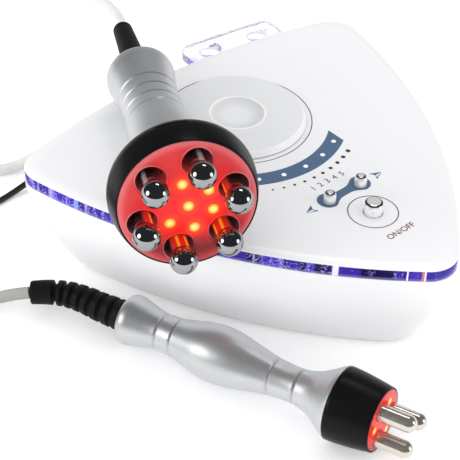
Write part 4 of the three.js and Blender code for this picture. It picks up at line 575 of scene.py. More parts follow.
def moulded(name, color, roughness, grain=0.00002, grain_scale=2500, tint=0.03, **more):
    """Moulded plastic: a tint that drifts over centimetres, soft roughness patches and a fine grain."""
    shader = Shader(bpy.data.materials.new(name))
    where = shader.where()
    drift = shader.noise(where, 35, 4)
    handling = shader.noise(where, 160, 5, 0.6)
    darker = tuple(c * (1 - tint) for c in color)
    return shader.surface(
        Base_Color=shader.mix(drift, rgba(darker), rgba(color)),
        Roughness=roughness + (handling - 0.5) * roughness * 0.35,
        Normal=shader.bump(shader.noise(where, grain_scale, 2), grain),
        **more,
    )


def polished(name, color, roughness, haze=0.04, metallic=1.0):
    """Plated metal: nearly a mirror, hazed here and there by handling."""
    shader = Shader(bpy.data.materials.new(name))
    where = shader.where()
    smear = shader.haze(where)
    return shader.surface(
        Base_Color=rgba(color),
        Metallic=metallic,
        Roughness=roughness + smear * haze,
        Normal=shader.bump(shader.noise(where, 500, 2), 0.000004),
    )


def dial_plastic():
    """White plastic seen on the dial: a grey-white face, with a painted highlight on the bevelled edge and the
    bead, painted shade on the dish's wall, painted light in the dish's middle and a painted shadow at the foot.
    """
    shader = Shader(bpy.data.materials.new("dial_white"))
    where = shader.where()
    x, y, z = shader.parts(shader.where(Vector(CONSOLE) * MM))
    out = (x * x + y * y) ** 0.5
    # Painted highlight on the bevelled edge and bead, painted shadow at the foot, painted shade and light in the
    # dish
    bevel_highlight = out.above((DIAL_R - DIAL_BEVEL - 0.2) * MM, 0.3 * MM)
    bead = out.above((DISH_R - 0.1) * MM, 0.5 * MM) * (1 - out.above((DISH_R + 1.3) * MM, 0.4 * MM))
    foot = 1 - z.above((LID_TOP + CLEARANCE + 0.45) * MM, 0.5 * MM)
    wall = (1 - out.above((DISH_R - 0.4) * MM, 0.6 * MM)) * out.above((DISH_R - 5) * MM, 6 * MM)
    drift = shader.noise(where, 35, 4)
    face = shader.mix(drift, rgba((0.775, 0.78, 0.785)), rgba((0.8, 0.805, 0.81)))
    dish = 1 - out.above((DISH_R - 6) * MM, 7 * MM)
    face = shader.mix(wall * 0.5, face, rgba((0.68, 0.685, 0.695)))
    face = shader.mix(dish * 0.7, face, rgba((0.87, 0.875, 0.88)))
    tone = shader.mix(bevel_highlight.or_more(bead), face, rgba((0.93, 0.932, 0.935)))
    return shader.surface(
        Base_Color=shader.mix(foot, tone, rgba((0.5, 0.5, 0.51))),
        Roughness=0.36 + drift * 0.04,
        Specular_IOR_Level=0.35,
        Normal=shader.bump(shader.noise(where, 2500, 2), 0.00001),
    )


def satin_silver():
    """Silver lacquer over a turned grip: fine bright flakes under a soft sheen."""
    shader = Shader(bpy.data.materials.new("satin_silver"))
    where = shader.where()
    flakes = shader.noise(where, 3600, 3, 0.6)
    drift = shader.noise(where, 45, 3)
    tone = shader.mix(flakes.above(0.52, 0.3), rgba((0.54, 0.55, 0.555)), rgba((0.74, 0.75, 0.755)))
    return shader.surface(
        Base_Color=shader.mix(drift * 0.25, tone, rgba((0.62, 0.64, 0.65))),
        Metallic=0.82,
        Roughness=0.32 + flakes * 0.12 + drift * 0.05,
        Normal=shader.bump(flakes, 0.00003),
    )


def violet_band():
    """Clear plastic lit from behind. Its UV map holds the way from the front corner and the height, in metres. Each
    stretch is a hump 1 - (d / half)^2 of the distance from its middle, roughened by noise that is stretched upwards,
    so that its ends are sharp and upright; violet and bright violet take turns between the stretches. Painted glints
    lie on it: scattered bright specks and the white stretches."""
    shader = Shader(bpy.data.materials.new("violet_clear"))
    uv = shader.node("ShaderNodeUVMap", {"uv_map": "way_and_up"})
    way, up, _ = shader.parts(uv)
    upright = shader.node("ShaderNodeCombineXYZ", inputs={"X": way, "Y": up * 0.25})
    blocks = shader.noise(upright, 210, 4, 0.7)
    ripple = shader.noise(uv, 800, 4, 0.65)
    broad = shader.noise(upright, 60, 2)

    def stretches(places, ragged, edge, soft):
        """Where any of the stretches is."""
        total = None
        for middle, half in places:
            d = way - middle * MM
            hump = 1 - d * d * (1 / (half * MM) ** 2) + (blocks - 0.5) * ragged
            mask = hump.above(edge, soft)
            total = mask if total is None else total.or_more(mask)
        return total

    violet = shader.mix(broad.above(0.5, 0.25), rgba((0.035, 0.015, 0.3)), rgba((0.07, 0.03, 0.55)))
    tone = shader.mix(ripple.above(0.5, 0.3) * 0.6, violet, rgba((0.02, 0.012, 0.13)))
    tone = shader.mix(stretches(BAND_DEEP, 0.6, 0.2, 0.5) * 0.8, tone, rgba((0.035, 0.022, 0.3)))
    tone = shader.mix(stretches(BAND_DARK, 2.0, 0.15, 0.4) * 0.94, tone, rgba((0.008, 0.007, 0.045)))
    low_line = 1 - (up - (BAND_BOTTOM + 1.5) * MM).above(0, 1.2 * MM)
    tone = shader.mix(low_line * 0.3, tone, rgba((0.4, 0.35, 0.8)))
    lively = stretches(BAND_LIVELY, 1.0, 0.1, 0.6)
    # Painted glints scattered over the band, most in its lively stretches
    painted_glints = (ripple * 0.55 + blocks * 0.45 + lively * 0.055).above(0.59, 0.06)
    tone = shader.mix(painted_glints * (lively * 0.45 + 0.35), tone, rgba((0.4, 0.36, 0.88)))
    tone = shader.mix(stretches(BAND_CYAN, 2.6, 0.5, 0.3) * 0.7, tone, rgba((0.3, 0.5, 0.95)))
    tone = shader.mix(stretches(BAND_PALE, 3.0, 0.25, 0.8) * 0.55, tone, rgba((0.5, 0.46, 0.85)))
    # Painted glints: the white stretches
    tone = shader.mix(stretches(BAND_WHITE_GLINTS, 3.0, 0.25, 0.8), tone, rgba((0.82, 0.81, 0.9)))
    tone = shader.mix(stretches(BAND_ORANGE, 0.8, 0.2, 0.5) * 0.85, tone, rgba((0.62, 0.24, 0.14)))
    return shader.surface(
        Base_Color=tone,
        Roughness=0.12,
        Specular_IOR_Level=0.12,
        Coat_Weight=0.08,
        Coat_Roughness=0.04,
        Emission_Color=tone,
        Emission_Strength=0.06,
        Normal=shader.bump(ripple, 0.0001),
    )


def clear_holder():
    """Clear acrylic with a painted violet glow and tint from the band's lamps at its left end and in its holes."""
    shader = Shader(bpy.data.materials.new("clear_plastic"))
    where = shader.where()
    x, y, _ = shader.parts(where)
    # Painted glow: violet colour and emission near the band's lamps
    glow = None
    for px, py, reach in HOLDER_PAINTED_GLOWS:
        dx, dy = x - (px + CONSOLE[0]) * MM, y - (py + CONSOLE[1]) * MM
        near = 1 - (dx * dx + dy * dy).above((reach * MM) ** 2 * 0.6, (reach * MM) ** 2)
        glow = near if glow is None else glow + near
    flow = shader.noise(where, 300, 4, 0.6)
    return shader.surface(
        Base_Color=shader.mix(glow, rgba((0.93, 0.92, 1.0)), rgba((0.6, 0.53, 1.0))),
        Roughness=0.06,
        IOR=1.3,
        Transmission_Weight=0.86,
        Emission_Color=shader.mix(glow * flow, BLACK, rgba((0.25, 0.12, 1.0))),
        Emission_Strength=0.55,
        Normal=shader.bump(flow, 0.00002),
    )


def button_plate(name, x, y, r, ring):
    """A button's bright plating with a painted reflection, a dark line round its shoulder: a ring between two shares
    of its radius, out = sqrt(x^2 + y^2) / r, faded at both sides and broken a little by noise."""
    shader = Shader(bpy.data.materials.new(name))
    where = shader.where()
    px, py, pz = shader.parts(shader.where(Vector((CONSOLE[0] + x, CONSOLE[1] + y, 0)) * MM))
    out = (px * px + py * py) ** 0.5 * (1 / (r * MM)) + (shader.noise(where, 500, 3) - 0.5) * 0.1
    low, high = ring
    # Painted reflection: the dark ring on the cap above the lid
    line = out.above(low, 0.08) * (1 - out.above(high, 0.08)) * pz.above((LID_TOP + 1) * MM, 0.5 * MM)
    smear = shader.haze(where)
    return shader.surface(
        Base_Color=shader.mix(line * 0.88, rgba((0.93, 0.935, 0.94)), rgba((0.02, 0.02, 0.022))),
        Metallic=0.4 + line * 0.5,
        Roughness=0.07 + smear * 0.04,
    )


def electrodes_with_painted_glow():
    """Bright plating whose necks carry a painted reflection of the lens's glow on the side towards the middle: red
    where the distance from the handset's axis is under the ring's. Two painted yellow streaks, reflections of the
    lamps, run at equal distances from each neck's middle, by its angle round the axis, (turn mod 60 degrees) - 30
    degrees. On the outer side the plating is painted darker as shade, with a pale painted line of reflection down
    its middle."""
    shader = Shader(bpy.data.materials.new("chrome_with_painted_glow"))
    where = shader.where()
    x, y, z = shader.parts(shader.where(Vector(LARGE_PLACE) * MM, handset_turn(LARGE_YAW, LARGE_TILT)))
    smear = shader.haze(where)
    neck = 1 - z.above((ELECTRODE_BALL_OUT - 5.2) * MM, 0.5 * MM)
    out = (x * x + y * y) ** 0.5
    inner = 1 - out.above((ELECTRODE_RING_R - 1.6) * MM, 3.4 * MM)
    turn = shader.maths("ARCTAN2", y, x) + math.radians(390 - ELECTRODE_PHASE)
    along = out * abs(turn % (math.pi / 3) - math.pi / 6)
    # Painted reflections of the lamps: two yellow streaks on each neck
    painted_lamp_streak = (1 - abs(along - 2.1 * MM).above(0.6 * MM, 0.9 * MM)) * z.above(-1.5 * MM, 3 * MM)
    glow = neck * inner
    # Outer side of each neck: a painted pale reflection line down its middle, and plating painted darker as shade
    pale = neck * out.above((ELECTRODE_RING_R + 2) * MM, 3 * MM) * (1 - along.above(1.3 * MM, 1.6 * MM))
    plating = shader.mix(neck * (1 - inner) * 0.5, rgba((0.34, 0.345, 0.35)), rgba((0.2, 0.19, 0.195)))
    plating = shader.mix(pale, plating, rgba((0.4, 0.38, 0.38)))
    # Painted red glow, a reflection of the lens, on the inner side of each neck
    red = shader.mix(glow, BLACK, rgba((0.55, 0.012, 0.004)))
    return shader.surface(
        Base_Color=shader.mix(glow, plating, rgba((0.42, 0.02, 0.012))),
        Metallic=1 - glow * 0.5 - pale * 0.6,
        Roughness=0.03 + smear * 0.04 + glow * 0.2,
        Emission_Color=shader.mix(painted_lamp_streak * glow, red, rgba((1.0, 0.3, 0.02))),
        Emission_Strength=0.75,
        Normal=shader.bump(shader.noise(where, 500, 2), 0.000004),
    )


def glowing_lens(name, place, yaw, tilt, lamps, lamp_r, rim_r, wells=()):
    """Clear red plastic over lit lamps, in the handset's own frame. Bright red in the middle clouds into pink-red at
    the rim, where a painted highlight runs round the edge, fainter at the bottom, and into a dull deep red low down,
    which is painted shade; each lamp is a yellow spot, far = (d / r)^2, with an orange halo; a well is painted
    darker with its depth as shade, more on the side away from the middle, and has a painted highlight, a thin pale
    line, round its mouth."""
    shader = Shader(bpy.data.materials.new(name))
    x, y, z = shader.parts(shader.where(Vector(place) * MM, handset_turn(yaw, tilt)))

    def far_from(px, py, r):
        """How far a point is from a spot: (distance / r)^2."""
        dx, dy = x - px * MM, y - py * MM
        return (dx * dx + dy * dy) * (1 / (r * MM) ** 2)

    def most(masks):
        """The largest of several masks."""
        total = masks[0]
        for mask in masks[1:]:
            total = total.or_more(mask)
        return total

    fars = [far_from(px, py, lamp_r) for px, py in lamps]
    spots = most([1 - far.above(0.95, 1.0) for far in fars])
    hearts = most([1 - far.above(0.3, 0.5) for far in fars])
    halo = most([1 - far.above(3.4, 5.5) for far in fars])
    out = (x * x + y * y) ** 0.5 * (1 / (rim_r * MM))
    cloud = shader.noise(shader.where(), 75, 3)
    fine = shader.noise(shader.where(), 420, 3)
    clouded = out + (cloud - 0.5) * 0.4
    tone = shader.mix(clouded.above(0.72, 0.55), rgba((0.8, 0.018, 0.018)), rgba((0.66, 0.05, 0.055)))
    # Painted shade: the lower side of the lens is darker
    low = (1 - y.above(-0.42 * rim_r * MM, 0.7 * rim_r * MM)) * clouded.above(0.6, 0.35)
    low = low * (1 - out.above(0.87, 0.2) * 0.65)
    tone = shader.mix(low * 0.9, tone, rgba((0.16, 0.008, 0.012)))
    # Painted highlight round the rim, fainter at the bottom
    rim = out.above(0.93, 0.12) * (y.above(-0.75 * rim_r * MM, 0.5 * rim_r * MM) * 0.8 + 0.2)
    tone = shader.mix(rim * 0.6, tone, rgba((0.78, 0.2, 0.21)))
    # Painted shade in the wells: darker with depth, darkest at the bottom
    deep = 1 - z.above(-0.1 * WELL_DEPTH * MM, 0.2 * WELL_DEPTH * MM)
    bottom = 1 - z.above(-0.45 * WELL_DEPTH * MM, 0.7 * WELL_DEPTH * MM)
    wall = shader.mix(out.above(0.66, 0.26), rgba((0.55, 0.016, 0.012)), rgba((0.42, 0.17, 0.18)))
    wall = shader.mix(bottom * 0.8, wall, rgba((0.05, 0.014, 0.015)))
    tone = shader.mix(deep, tone, wall)
    shallow = 1 - deep
    if wells:
        mouths = [far_from(*well) for well in wells]
        # Painted highlight: a thin pale line round each well's mouth
        lines = most([far.above(0.9, 0.06) * (1 - far.above(1.08, 0.06)) for far in mouths])
        tone = shader.mix(lines * 0.5, tone, rgba((0.72, 0.26, 0.27)))
    tone = shader.mix(halo * shallow * 0.55, tone, rgba((0.95, 0.07, 0.014)))
    tone = shader.mix(spots * shallow, tone, rgba((0.98, 0.5, 0.06)))
    tone = shader.mix(hearts * shallow, tone, rgba((1.0, 0.74, 0.25)))
    near = (1 - out.above(0.6, 0.8)) * (1 - deep * 0.7)
    lit = near.or_more(spots * shallow)
    return shader.surface(
        Base_Color=tone,
        Roughness=0.2 + fine * 0.1,
        Specular_IOR_Level=0.25,
        Emission_Color=shader.mix(lit, BLACK, tone),
        Emission_Strength=0.4,
        Normal=shader.bump(fine, 0.00002),
    )


def sheath(name, color, roughness):
    """A cord's soft plastic sheath: faint long marks and a fine grain."""
    shader = Shader(bpy.data.materials.new(name))
    where = shader.where()
    marks = shader.noise(where, 120, 5, 0.6)
    darker = tuple(c * 0.9 for c in color)
    return shader.surface(
        Base_Color=shader.mix(marks.above(0.5, 0.5), rgba(darker), rgba(color)),
        Roughness=roughness + (marks - 0.5) * 0.15,
        Normal=shader.bump(shader.noise(where, 900, 3), 0.00003),
    )


def circuit_board():
    """Green lacquer over copper tracks, which run as thin lines both ways, with solder points."""
    shader = Shader(bpy.data.materials.new("board"))
    where = shader.where()
    tracks = shader.node(
        "ShaderNodeTexBrick",
        {"offset": 0.5},
        {"Vector": where, "Scale": 260.0, "Mortar Size": 0.04, "Mortar Smooth": 0.2, "Row Height": 0.35},
        output="Fac",
    )
    cells = shader.node("ShaderNodeTexVoronoi", {}, {"Vector": where, "Scale": 330.0}, output="Distance")
    solder = 1 - cells.above(0.16, 0.05)
    lacquer = shader.mix(tracks, rgba((0.012, 0.11, 0.05)), rgba((0.05, 0.25, 0.11)))
    return shader.surface(
        Base_Color=shader.mix(solder, lacquer, rgba((0.6, 0.6, 0.58))),
        Roughness=0.42 - solder * 0.15,
        Normal=shader.bump(tracks + solder, 0.00003),
    )


def wound_copper():
    """Varnished wire wound in fine turns."""
    shader = Shader(bpy.data.materials.new("copper"))
    where = shader.where()
    inputs = {"Vector": where, "Scale": 420.0, "Distortion": 0.4}
    turns = shader.node("ShaderNodeTexWave", {"bands_direction": "Z"}, inputs, output="Fac")
    return shader.surface(
        Base_Color=shader.mix(turns, rgba((0.2, 0.065, 0.02)), rgba((0.5, 0.2, 0.07))),
        Metallic=0.6,
        Roughness=0.38,
        Normal=shader.bump(turns, 0.00012),
    )


def ink(name, color):
    """Screen print: matt ink with tiny pinholes where the screen's mesh shows."""
    shader = Shader(bpy.data.materials.new(name))
    where = shader.where()
    pinholes = shader.noise(where, 3200, 2).above(0.7, 0.06)
    paler = tuple(c + (0.7 - c) * 0.35 for c in color)
    return shader.surface(
        Base_Color=shader.mix(pinholes, rgba(color), rgba(paler)),
        Roughness=0.45 + pinholes * 0.1,
        Specular_IOR_Level=0.25,
    )


def lamp_resin(name, color, glow):
    """Water-clear lamp body with its lit heart."""
    shader = Shader(bpy.data.materials.new(name))
    haze = shader.noise(shader.where(), 900, 3)
    tone = shader.mix(haze, rgba(color), rgba(tuple(min(1.0, c * 1.08) for c in color)))
    return shader.surface(
        Base_Color=tone,
        Roughness=0.12,
        Coat_Weight=0.5,
        Emission_Color=tone,
        Emission_Strength=glow,
    )


# Console


def heading(a, b):
    """The way from a to b, as an angle."""
    return math.atan2(b[1] - a[1], b[0] - a[0])


def arc(centre, radius, start, end, steps):
    """Points of a circle's arc from its start angle up to, and without, its end."""
    angle = start + (end - start) * np.arange(steps) / steps
    return np.stack([centre[0] + radius * np.cos(angle), centre[1] + radius * np.sin(angle)], -1)


def outline(inset, growth=0.0):
    """The console's outline drawn in by an inset, from the front corner round by the right: arcs of the front
    corner, the side, the back corner and the back edge, each tangent to the next, and their mirror image."""
    front_r = FRONT_CORNER_R + growth
    side_r = SIDE_ARC_R - inset
    back_r = BACK_ARC_R - inset
    back_centre = np.array([0, BACK_Y - BACK_ARC_R])
    corner_x = HALF_WIDTH - inset - BACK_CORNER_R
    corner = np.array([corner_x, back_centre[1] + math.sqrt((back_r - BACK_CORNER_R) ** 2 - corner_x**2)])
    front = np.array([0, FRONT_Y + inset + front_r])
    d = corner - front
    apart = np.linalg.norm(d)
    along = ((side_r - front_r) ** 2 - (side_r - BACK_CORNER_R) ** 2 + apart**2) / (2 * apart)
    across = math.sqrt((side_r - front_r) ** 2 - along**2)
    side = front + np.array([d[0] * along - d[1] * across, d[1] * along + d[0] * across]) / apart
    front_end = heading(side, front)
    side_end = heading(side, corner)
    corner_end = heading(back_centre, corner)
    right = np.concatenate(
        [
            arc(front, front_r, -math.pi / 2, front_end, 10),
            arc(side, side_r, front_end, side_end, 36),
            arc(corner, BACK_CORNER_R, side_end, corner_end, 12),
            arc(back_centre, back_r, corner_end, math.pi / 2, 22),
        ]
    )
    left = right[1:][::-1] * [-1, 1]
    return np.concatenate([right, [[0, BACK_Y - inset]], left])


def outline_ring(inset, z, growth=0.0):
    """The outline at a height."""
    xy = outline(inset, growth)
    return np.c_[xy, np.full(len(xy), z)]


def lofted(rings, closes_on_itself=False):
    """A surface through rings of equally many points, closed at its ends by their middles."""
    rings = list(rings)
    if not closes_on_itself:
        first = np.repeat(rings[0].mean(0, keepdims=True), len(rings[0]), 0)
        last = np.repeat(rings[-1].mean(0, keepdims=True), len(rings[-1]), 0)
        rings = [first, *rings, last]
    count = len(rings[0])
    return np.concatenate(rings), grid_faces(len(rings), count, wrap_rows=closes_on_itself)


def hull_inset(z):
    """How far the hull is drawn in at a height: a power curve, and a round over its last millimetres."""
    share = np.clip((BAND_BOTTOM - z) / (BAND_BOTTOM - HULL_BOTTOM), 0, 1) ** HULL_CURVE
    near = np.clip((HULL_BOTTOM + HULL_FOOT_ROUND - z) / HULL_FOOT_ROUND, 0, 1)
    return HULL_DRAW_IN * share + HULL_FOOT_ROUND * (1 - np.sqrt(1 - near**2)), HULL_CORNER_GROWTH * share


def make_lid(material):
    """Flat top, a rim whose fall goes with s^1.5 over its width, a small round at its edge, and the lip inside."""
    edge_round, underside = 0.5, LID_EDGE + 0.02
    rings = []
    for share in np.linspace(0, 1, 10):
        z = LID_TOP - (LID_TOP - LID_EDGE - edge_round) * share**1.5
        rings.append(outline_ring(LID_RIM_WIDTH * (1 - share) + edge_round * share**4, z))
    rings.append(outline_ring(edge_round * 0.3, LID_EDGE + edge_round * 0.7))
    rings.append(outline_ring(0, LID_EDGE + edge_round * 0.25))
    rings.append(outline_ring(0.05, underside))
    lip = BAND_WIDTH + CLEARANCE
    for inset, z in (
        (lip, underside),
        (lip, LID_EDGE - LIP_DEPTH),
        (lip + LIP_WALL, LID_EDGE - LIP_DEPTH),
        (lip + LIP_WALL, LID_TOP - LID_THICKNESS),
    ):
        rings.append(outline_ring(inset, z))
    lid = mesh_object("lid_shell", lofted(rings), on_console)
    holes = [(*POWER_BUTTON[:2], POWER_BUTTON[2] + CLEARANCE)]
    holes += [(x, y, r + CLEARANCE) for x, y, r in INTENSITY_BUTTONS.values()]
    tools = []
    for i, (x, y, r) in enumerate(holes):
        profile = [(0, -4), (r, -4), (r, -0.35), (r + 0.35, 0.02), (r + 0.35, 1), (0, 1)]
        tools.append(mesh_object(f"hole_{i}", turned_at(profile, 64, x, y, LID_TOP), on_console))
    combine(lid, tools)
    return dress(lid, material, "console", ["lid"])


def make_light_band(material):
    """A ring with rounded outer edges, whose UV map holds the way from the front corner and the height."""
    soft, recess, bottom = 0.45, 0.12, BAND_BOTTOM + 0.03
    section = [
        (recess + soft, bottom),
        (recess + soft * 0.3, bottom + soft * 0.3),
        (recess, bottom + soft),
        (recess, LID_EDGE - soft),
        (recess + soft * 0.3, LID_EDGE - soft * 0.3),
        (recess + soft, LID_EDGE),
        (BAND_WIDTH, LID_EDGE),
        (BAND_WIDTH, bottom),
    ]
    surface = lofted([outline_ring(inset, z) for inset, z in section], closes_on_itself=True)
    band = mesh_object("light_band_clear", surface, on_console)
    xy = outline(0)
    way = np.concatenate([[0], np.cumsum(np.linalg.norm(np.roll(xy, -1, 0) - xy, axis=1))])
    way = np.minimum(way[:-1], way[-1] - way[:-1])
    mesh = band.data
    co = np.empty(len(mesh.vertices) * 3)
    mesh.vertices.foreach_get("co", co)
    co = co.reshape(-1, 3) / MM - CONSOLE
    nearest = np.argmin(np.linalg.norm(co[:, None, :2] - xy[None], axis=-1), 1)
    corner = np.empty(len(mesh.loops), int)
    mesh.loops.foreach_get("vertex_index", corner)
    layer = mesh.uv_layers.new(name="way_and_up")
    uv = np.stack([way[nearest][corner], co[corner, 2]], -1) * MM
    layer.data.foreach_set("uv", uv.astype(np.float32).reshape(-1))
    return dress(band, material, "console", ["light_band"])


def block(x0, x1, y0, y1, z0, z1):
    """A box from its low corner to its high one."""
    low, high = np.array([x0, y0, z0], float), np.array([x1, y1, z1], float)
    corners = np.array([[i, j, k] for i in (0, 1) for j in (0, 1) for k in (0, 1)], float)
    faces = [[0, 1, 3, 2], [4, 6, 7, 5], [0, 4, 5, 1], [2, 3, 7, 6], [0, 2, 6, 4], [1, 5, 7, 3]]
    return low + corners * (high - low), faces


def pocket_block(wall):
    """The connectors' pocket, with a wall round it."""
    return block(
        POWER_JACK_X - POCKET_MARGIN - wall,
        SMALL_SOCKET_X + POCKET_MARGIN + wall,
        PANEL_Y - wall,
        BACK_Y + 1,
        CONNECTOR_Z - POCKET_MARGIN - wall,
        CONNECTOR_Z + POCKET_MARGIN + wall,
    )


def make_base_shell(material):
    """Bowl-shaped hull with its inner wall, and the pocket for the connectors let into its back."""
    heights = HULL_BOTTOM + (BAND_BOTTOM - HULL_BOTTOM) * np.linspace(0, 1, 26) ** 1.5
    outer, inner = [], []
    for z in heights:
        inset, growth = hull_inset(z)
        outer.append(outline_ring(inset, z, growth))
    floor_top = HULL_BOTTOM + HULL_FLOOR
    for z in floor_top + (BAND_BOTTOM - floor_top) * np.linspace(1, 0, 14):
        share = ((BAND_BOTTOM - z) / (BAND_BOTTOM - HULL_BOTTOM)) ** HULL_CURVE
        inner.append(outline_ring(HULL_DRAW_IN * share + HULL_WALL, z, HULL_CORNER_GROWTH * share))
    shell = mesh_object("base_shell_bowl", lofted(outer + inner), on_console)
    walls = mesh_object("pocket_walls", pocket_block(HULL_WALL), on_console)
    hull = mesh_object("hull_solid", lofted(outer), on_console)
    combine(walls, [hull], "INTERSECT")
    combine(shell, [walls], "UNION")
    tools = [mesh_object("pocket", pocket_block(0), on_console)]
    for x, r in ((POWER_JACK_X, JACK_R), (LARGE_SOCKET_X, SOCKET_R), (SMALL_SOCKET_X, SOCKET_R)):
        bore = turned([(0, -4), (r + CLEARANCE, -4), (r + CLEARANCE, 1), (0, 1)], 48)
        tools.append(mesh_object(f"panel_hole_{x}", bore, facing_back(x, PANEL_Y)))
    combine(shell, tools)
    return dress(shell, material, "console", ["base_shell"])


def make_holder(material):
    """Arc-shaped plate with round outer corners, two holes and softened edges, and its tongue into the console."""
    thickness, soft = 5.0, 0.7
    hole_r, hole_out, hole_angles = 6.3, 7.6, (5.25, 10.0)
    middle = (BAND_BOTTOM + LID_EDGE) / 2
    back_centre = np.array([0, BACK_Y - BACK_ARC_R])

    def at(out, angle):
        """The point some way out from the back edge at an angle about that edge's centre, in degrees."""
        angle = np.radians(angle)
        r = BACK_ARC_R + out
        return np.stack([back_centre[0] + r * np.sin(angle), back_centre[1] + r * np.cos(angle)], -1)

    start, end, depth, corner_r = 2.9, 12.1, 18.5, 8.5
    corner = math.degrees(corner_r / (BACK_ARC_R + depth))
    turn = np.linspace(0, np.pi / 2, 12)
    edge = np.concatenate(
        [
            at(CLEARANCE, np.linspace(start, end, 24)),
            at(depth - corner_r * (1 - np.sin(turn)), end - corner * (1 - np.cos(turn))),
            at(depth, np.linspace(end - corner, start + corner, 24)[1:-1]),
            at(depth - corner_r * (1 - np.cos(turn)), start + corner * (1 - np.sin(turn))),
        ]
    )
    angle = np.linspace(0, 2 * np.pi, 48, endpoint=False)
    circle = np.stack([np.cos(angle), np.sin(angle)], -1) * hole_r
    loops = [edge] + [circle[::-1] + at(hole_out, hole) for hole in hole_angles]
    data = bpy.data.curves.new("holder_outline", "CURVE")
    data.dimensions = "2D"
    data.fill_mode = "BOTH"
    data.extrude = (thickness / 2 - soft) * MM
    data.bevel_depth = soft * MM
    data.bevel_resolution = 3
    data.offset = -soft * MM
    for loop in loops:
        line = data.splines.new("POLY")
        line.points.add(len(loop) - 1)
        line.points.foreach_set("co", np.c_[loop * MM, np.zeros(len(loop)), np.ones(len(loop))].reshape(-1))
        line.use_cyclic_u = True
    mesh = solid_of(in_scene("holder_flat", data))
    mesh.transform(Matrix.Translation(Vector((*CONSOLE[:2], middle)) * MM))
    tidy_mesh(mesh)
    dress(in_scene("holder_plate", mesh), material, "console", ["handset_holder"])
    reach = np.linspace(4.6, 10.6, 12)
    tongue = strip(at(-9.0, reach), at(0.2, reach), middle - 1.7, middle + 1.7)
    dress(mesh_object("holder_tongue", tongue, on_console), material, "console")


def solid_of(flat):
    """The mesh of a curve or text object, which is used up."""
    bpy.context.view_layer.update()
    mesh = bpy.data.meshes.new_from_object(flat.evaluated_get(bpy.context.evaluated_depsgraph_get()))
    bpy.data.objects.remove(flat)
    return mesh


def make_dial(material):
    """White disc with a bevelled edge. Inside a fine raised bead is a finger dish, r = R cos a and D sin(a)^0.8
    deep."""
    bottom = LID_TOP + CLEARANCE
    angle = np.linspace(math.pi / 2, 0.1, 16)
    dish = np.stack([DISH_R * np.cos(angle), DIAL_TOP - DISH_DEPTH * np.sin(angle) ** 0.8], -1)
    rim = softened(
        [
            (0, bottom),
            (DIAL_R, bottom),
            (DIAL_R, bottom + 0.55),
            (DIAL_R - DIAL_BEVEL, DIAL_TOP - 0.08),
            (DISH_R + 1.35, DIAL_TOP - 0.08),
            (DISH_R + 0.95, DIAL_TOP + 0.1),
            (DISH_R + 0.25, DIAL_TOP + 0.1),
            (DISH_R, DIAL_TOP - 0.15),
        ],
        0.28,
        4,
    )
    profile = [*rim[:-1], *dish[::-1]]
    dial = mesh_object("dial_disc", turned(profile, 160), on_console)
    dress(dial, material, "dial", ["dial"])
    hub = softened([(0, bottom - 7), (6, bottom - 7), (6, bottom - 0.02), (0, bottom - 0.02)], 0.4)
    dress(mesh_object("dial_hub", turned(hub, 48), on_console), material, "dial")


def make_button(name, x, y, r, top, material, cap):
    """Chrome cap, its crown rounded, with the flange under the lid and the stem over its switch."""
    flange = LID_TOP - LID_THICKNESS - CLEARANCE
    stem_bottom = bottom_of(f"{name}_button")
    crown = [(r * cr, top - cz) for cr, cz in cap]
    profile = [
        (0, stem_bottom),
        (2.4, stem_bottom),
        (2.4, flange - 1.2),
        (r + 1.2, flange - 1.2),
        (r + 1.2, flange),
        (r, flange),
        *crown,
        (0, top),
    ]
    place = moved(CONSOLE[0] + x, CONSOLE[1] + y)
    piece = mesh_object(f"{name}_button_cap", turned(softened(profile, 0.45, 4), 72), place)
    dress(piece, material, f"{name}_button", [f"{name}_button"])


def make_buttons():
    """The power button is a low drum with a flat dish on top; the intensity buttons are small round-topped ones."""
    drum = [(1.0, 3.0), (1.0, 1.3), (0.97, 0.7), (0.86, 0.25), (0.62, 0.02), (0.3, 0.0)]
    plate = button_plate("power_button_plate", *POWER_BUTTON, (0.76, 0.96))
    make_button("power", *POWER_BUTTON, top_of("power_button"), plate, drum)
    knob = [(1.0, 2.7), (1.0, 1.9), (0.96, 1.2), (0.82, 0.55), (0.58, 0.17), (0.28, 0.03)]
    for side, (x, y, r) in INTENSITY_BUTTONS.items():
        plate = button_plate(f"intensity_{side}_plate", x, y, r, (0.5, 0.76))
        make_button(f"intensity_{side}", x, y, r, top_of(f"intensity_{side}_button"), plate, knob)


def make_level_lights(resin):
    """A small lamp with a flange below and a dome above, r = 1.5 cos a, z = rim + 0.9 sin a."""
    for i in range(1, 6):
        node = f"level_light_{i}"
        rim = LID_TOP - 0.35
        dome = [(1.5 * math.cos(a), rim + 0.9 * math.sin(a)) for a in np.linspace(0, math.pi / 2, 9)]
        foot = bottom_of(node)
        profile = [(0, foot), (2, foot), (2, foot + 1), (1.5, foot + 1), *dome]
        piece = mesh_object(f"{node}_lamp", turned(profile, 40), moved(*centre_of(node)[:2]))
        dress(piece, resin, "console", [node])


def make_feet(material):
    """A round pad on a stem that goes up through the hull."""
    for side in ("front", "left", "right"):
        node = f"foot_{side}"
        top = top_of(node)
        rows = softened([(0, 0), (FOOT_R, 0), (FOOT_R, 1.17), (3, 1.17), (3, top), (0, top)], 0.35)
        piece = mesh_object(f"{node}_pad", turned(rows, 56), moved(*centre_of(node)[:2]))
        dress(piece, material, "console", [node])


# Print on the lid


def letters(name, words, x, y, height, material, spacing=1.0, weight=0.0):
    """A line of sans-serif letters that starts at x, y and reads along +X, with capitals of a given height."""
    data = bpy.data.curves.new(name, "FONT")
    data.body = words
    data.size = height / CAPITAL_SHARE * MM
    data.space_character = spacing
    data.extrude = PRINT_THICKNESS / 2 * MM
    data.offset = weight * MM
    mesh = solid_of(in_scene(name, data))
    mesh.transform(Matrix.Translation(Vector((CONSOLE[0] + x, CONSOLE[1] + y, LID_TOP + PRINT_THICKNESS / 2)) * MM))
    return dress(in_scene(name, mesh), material, "console")


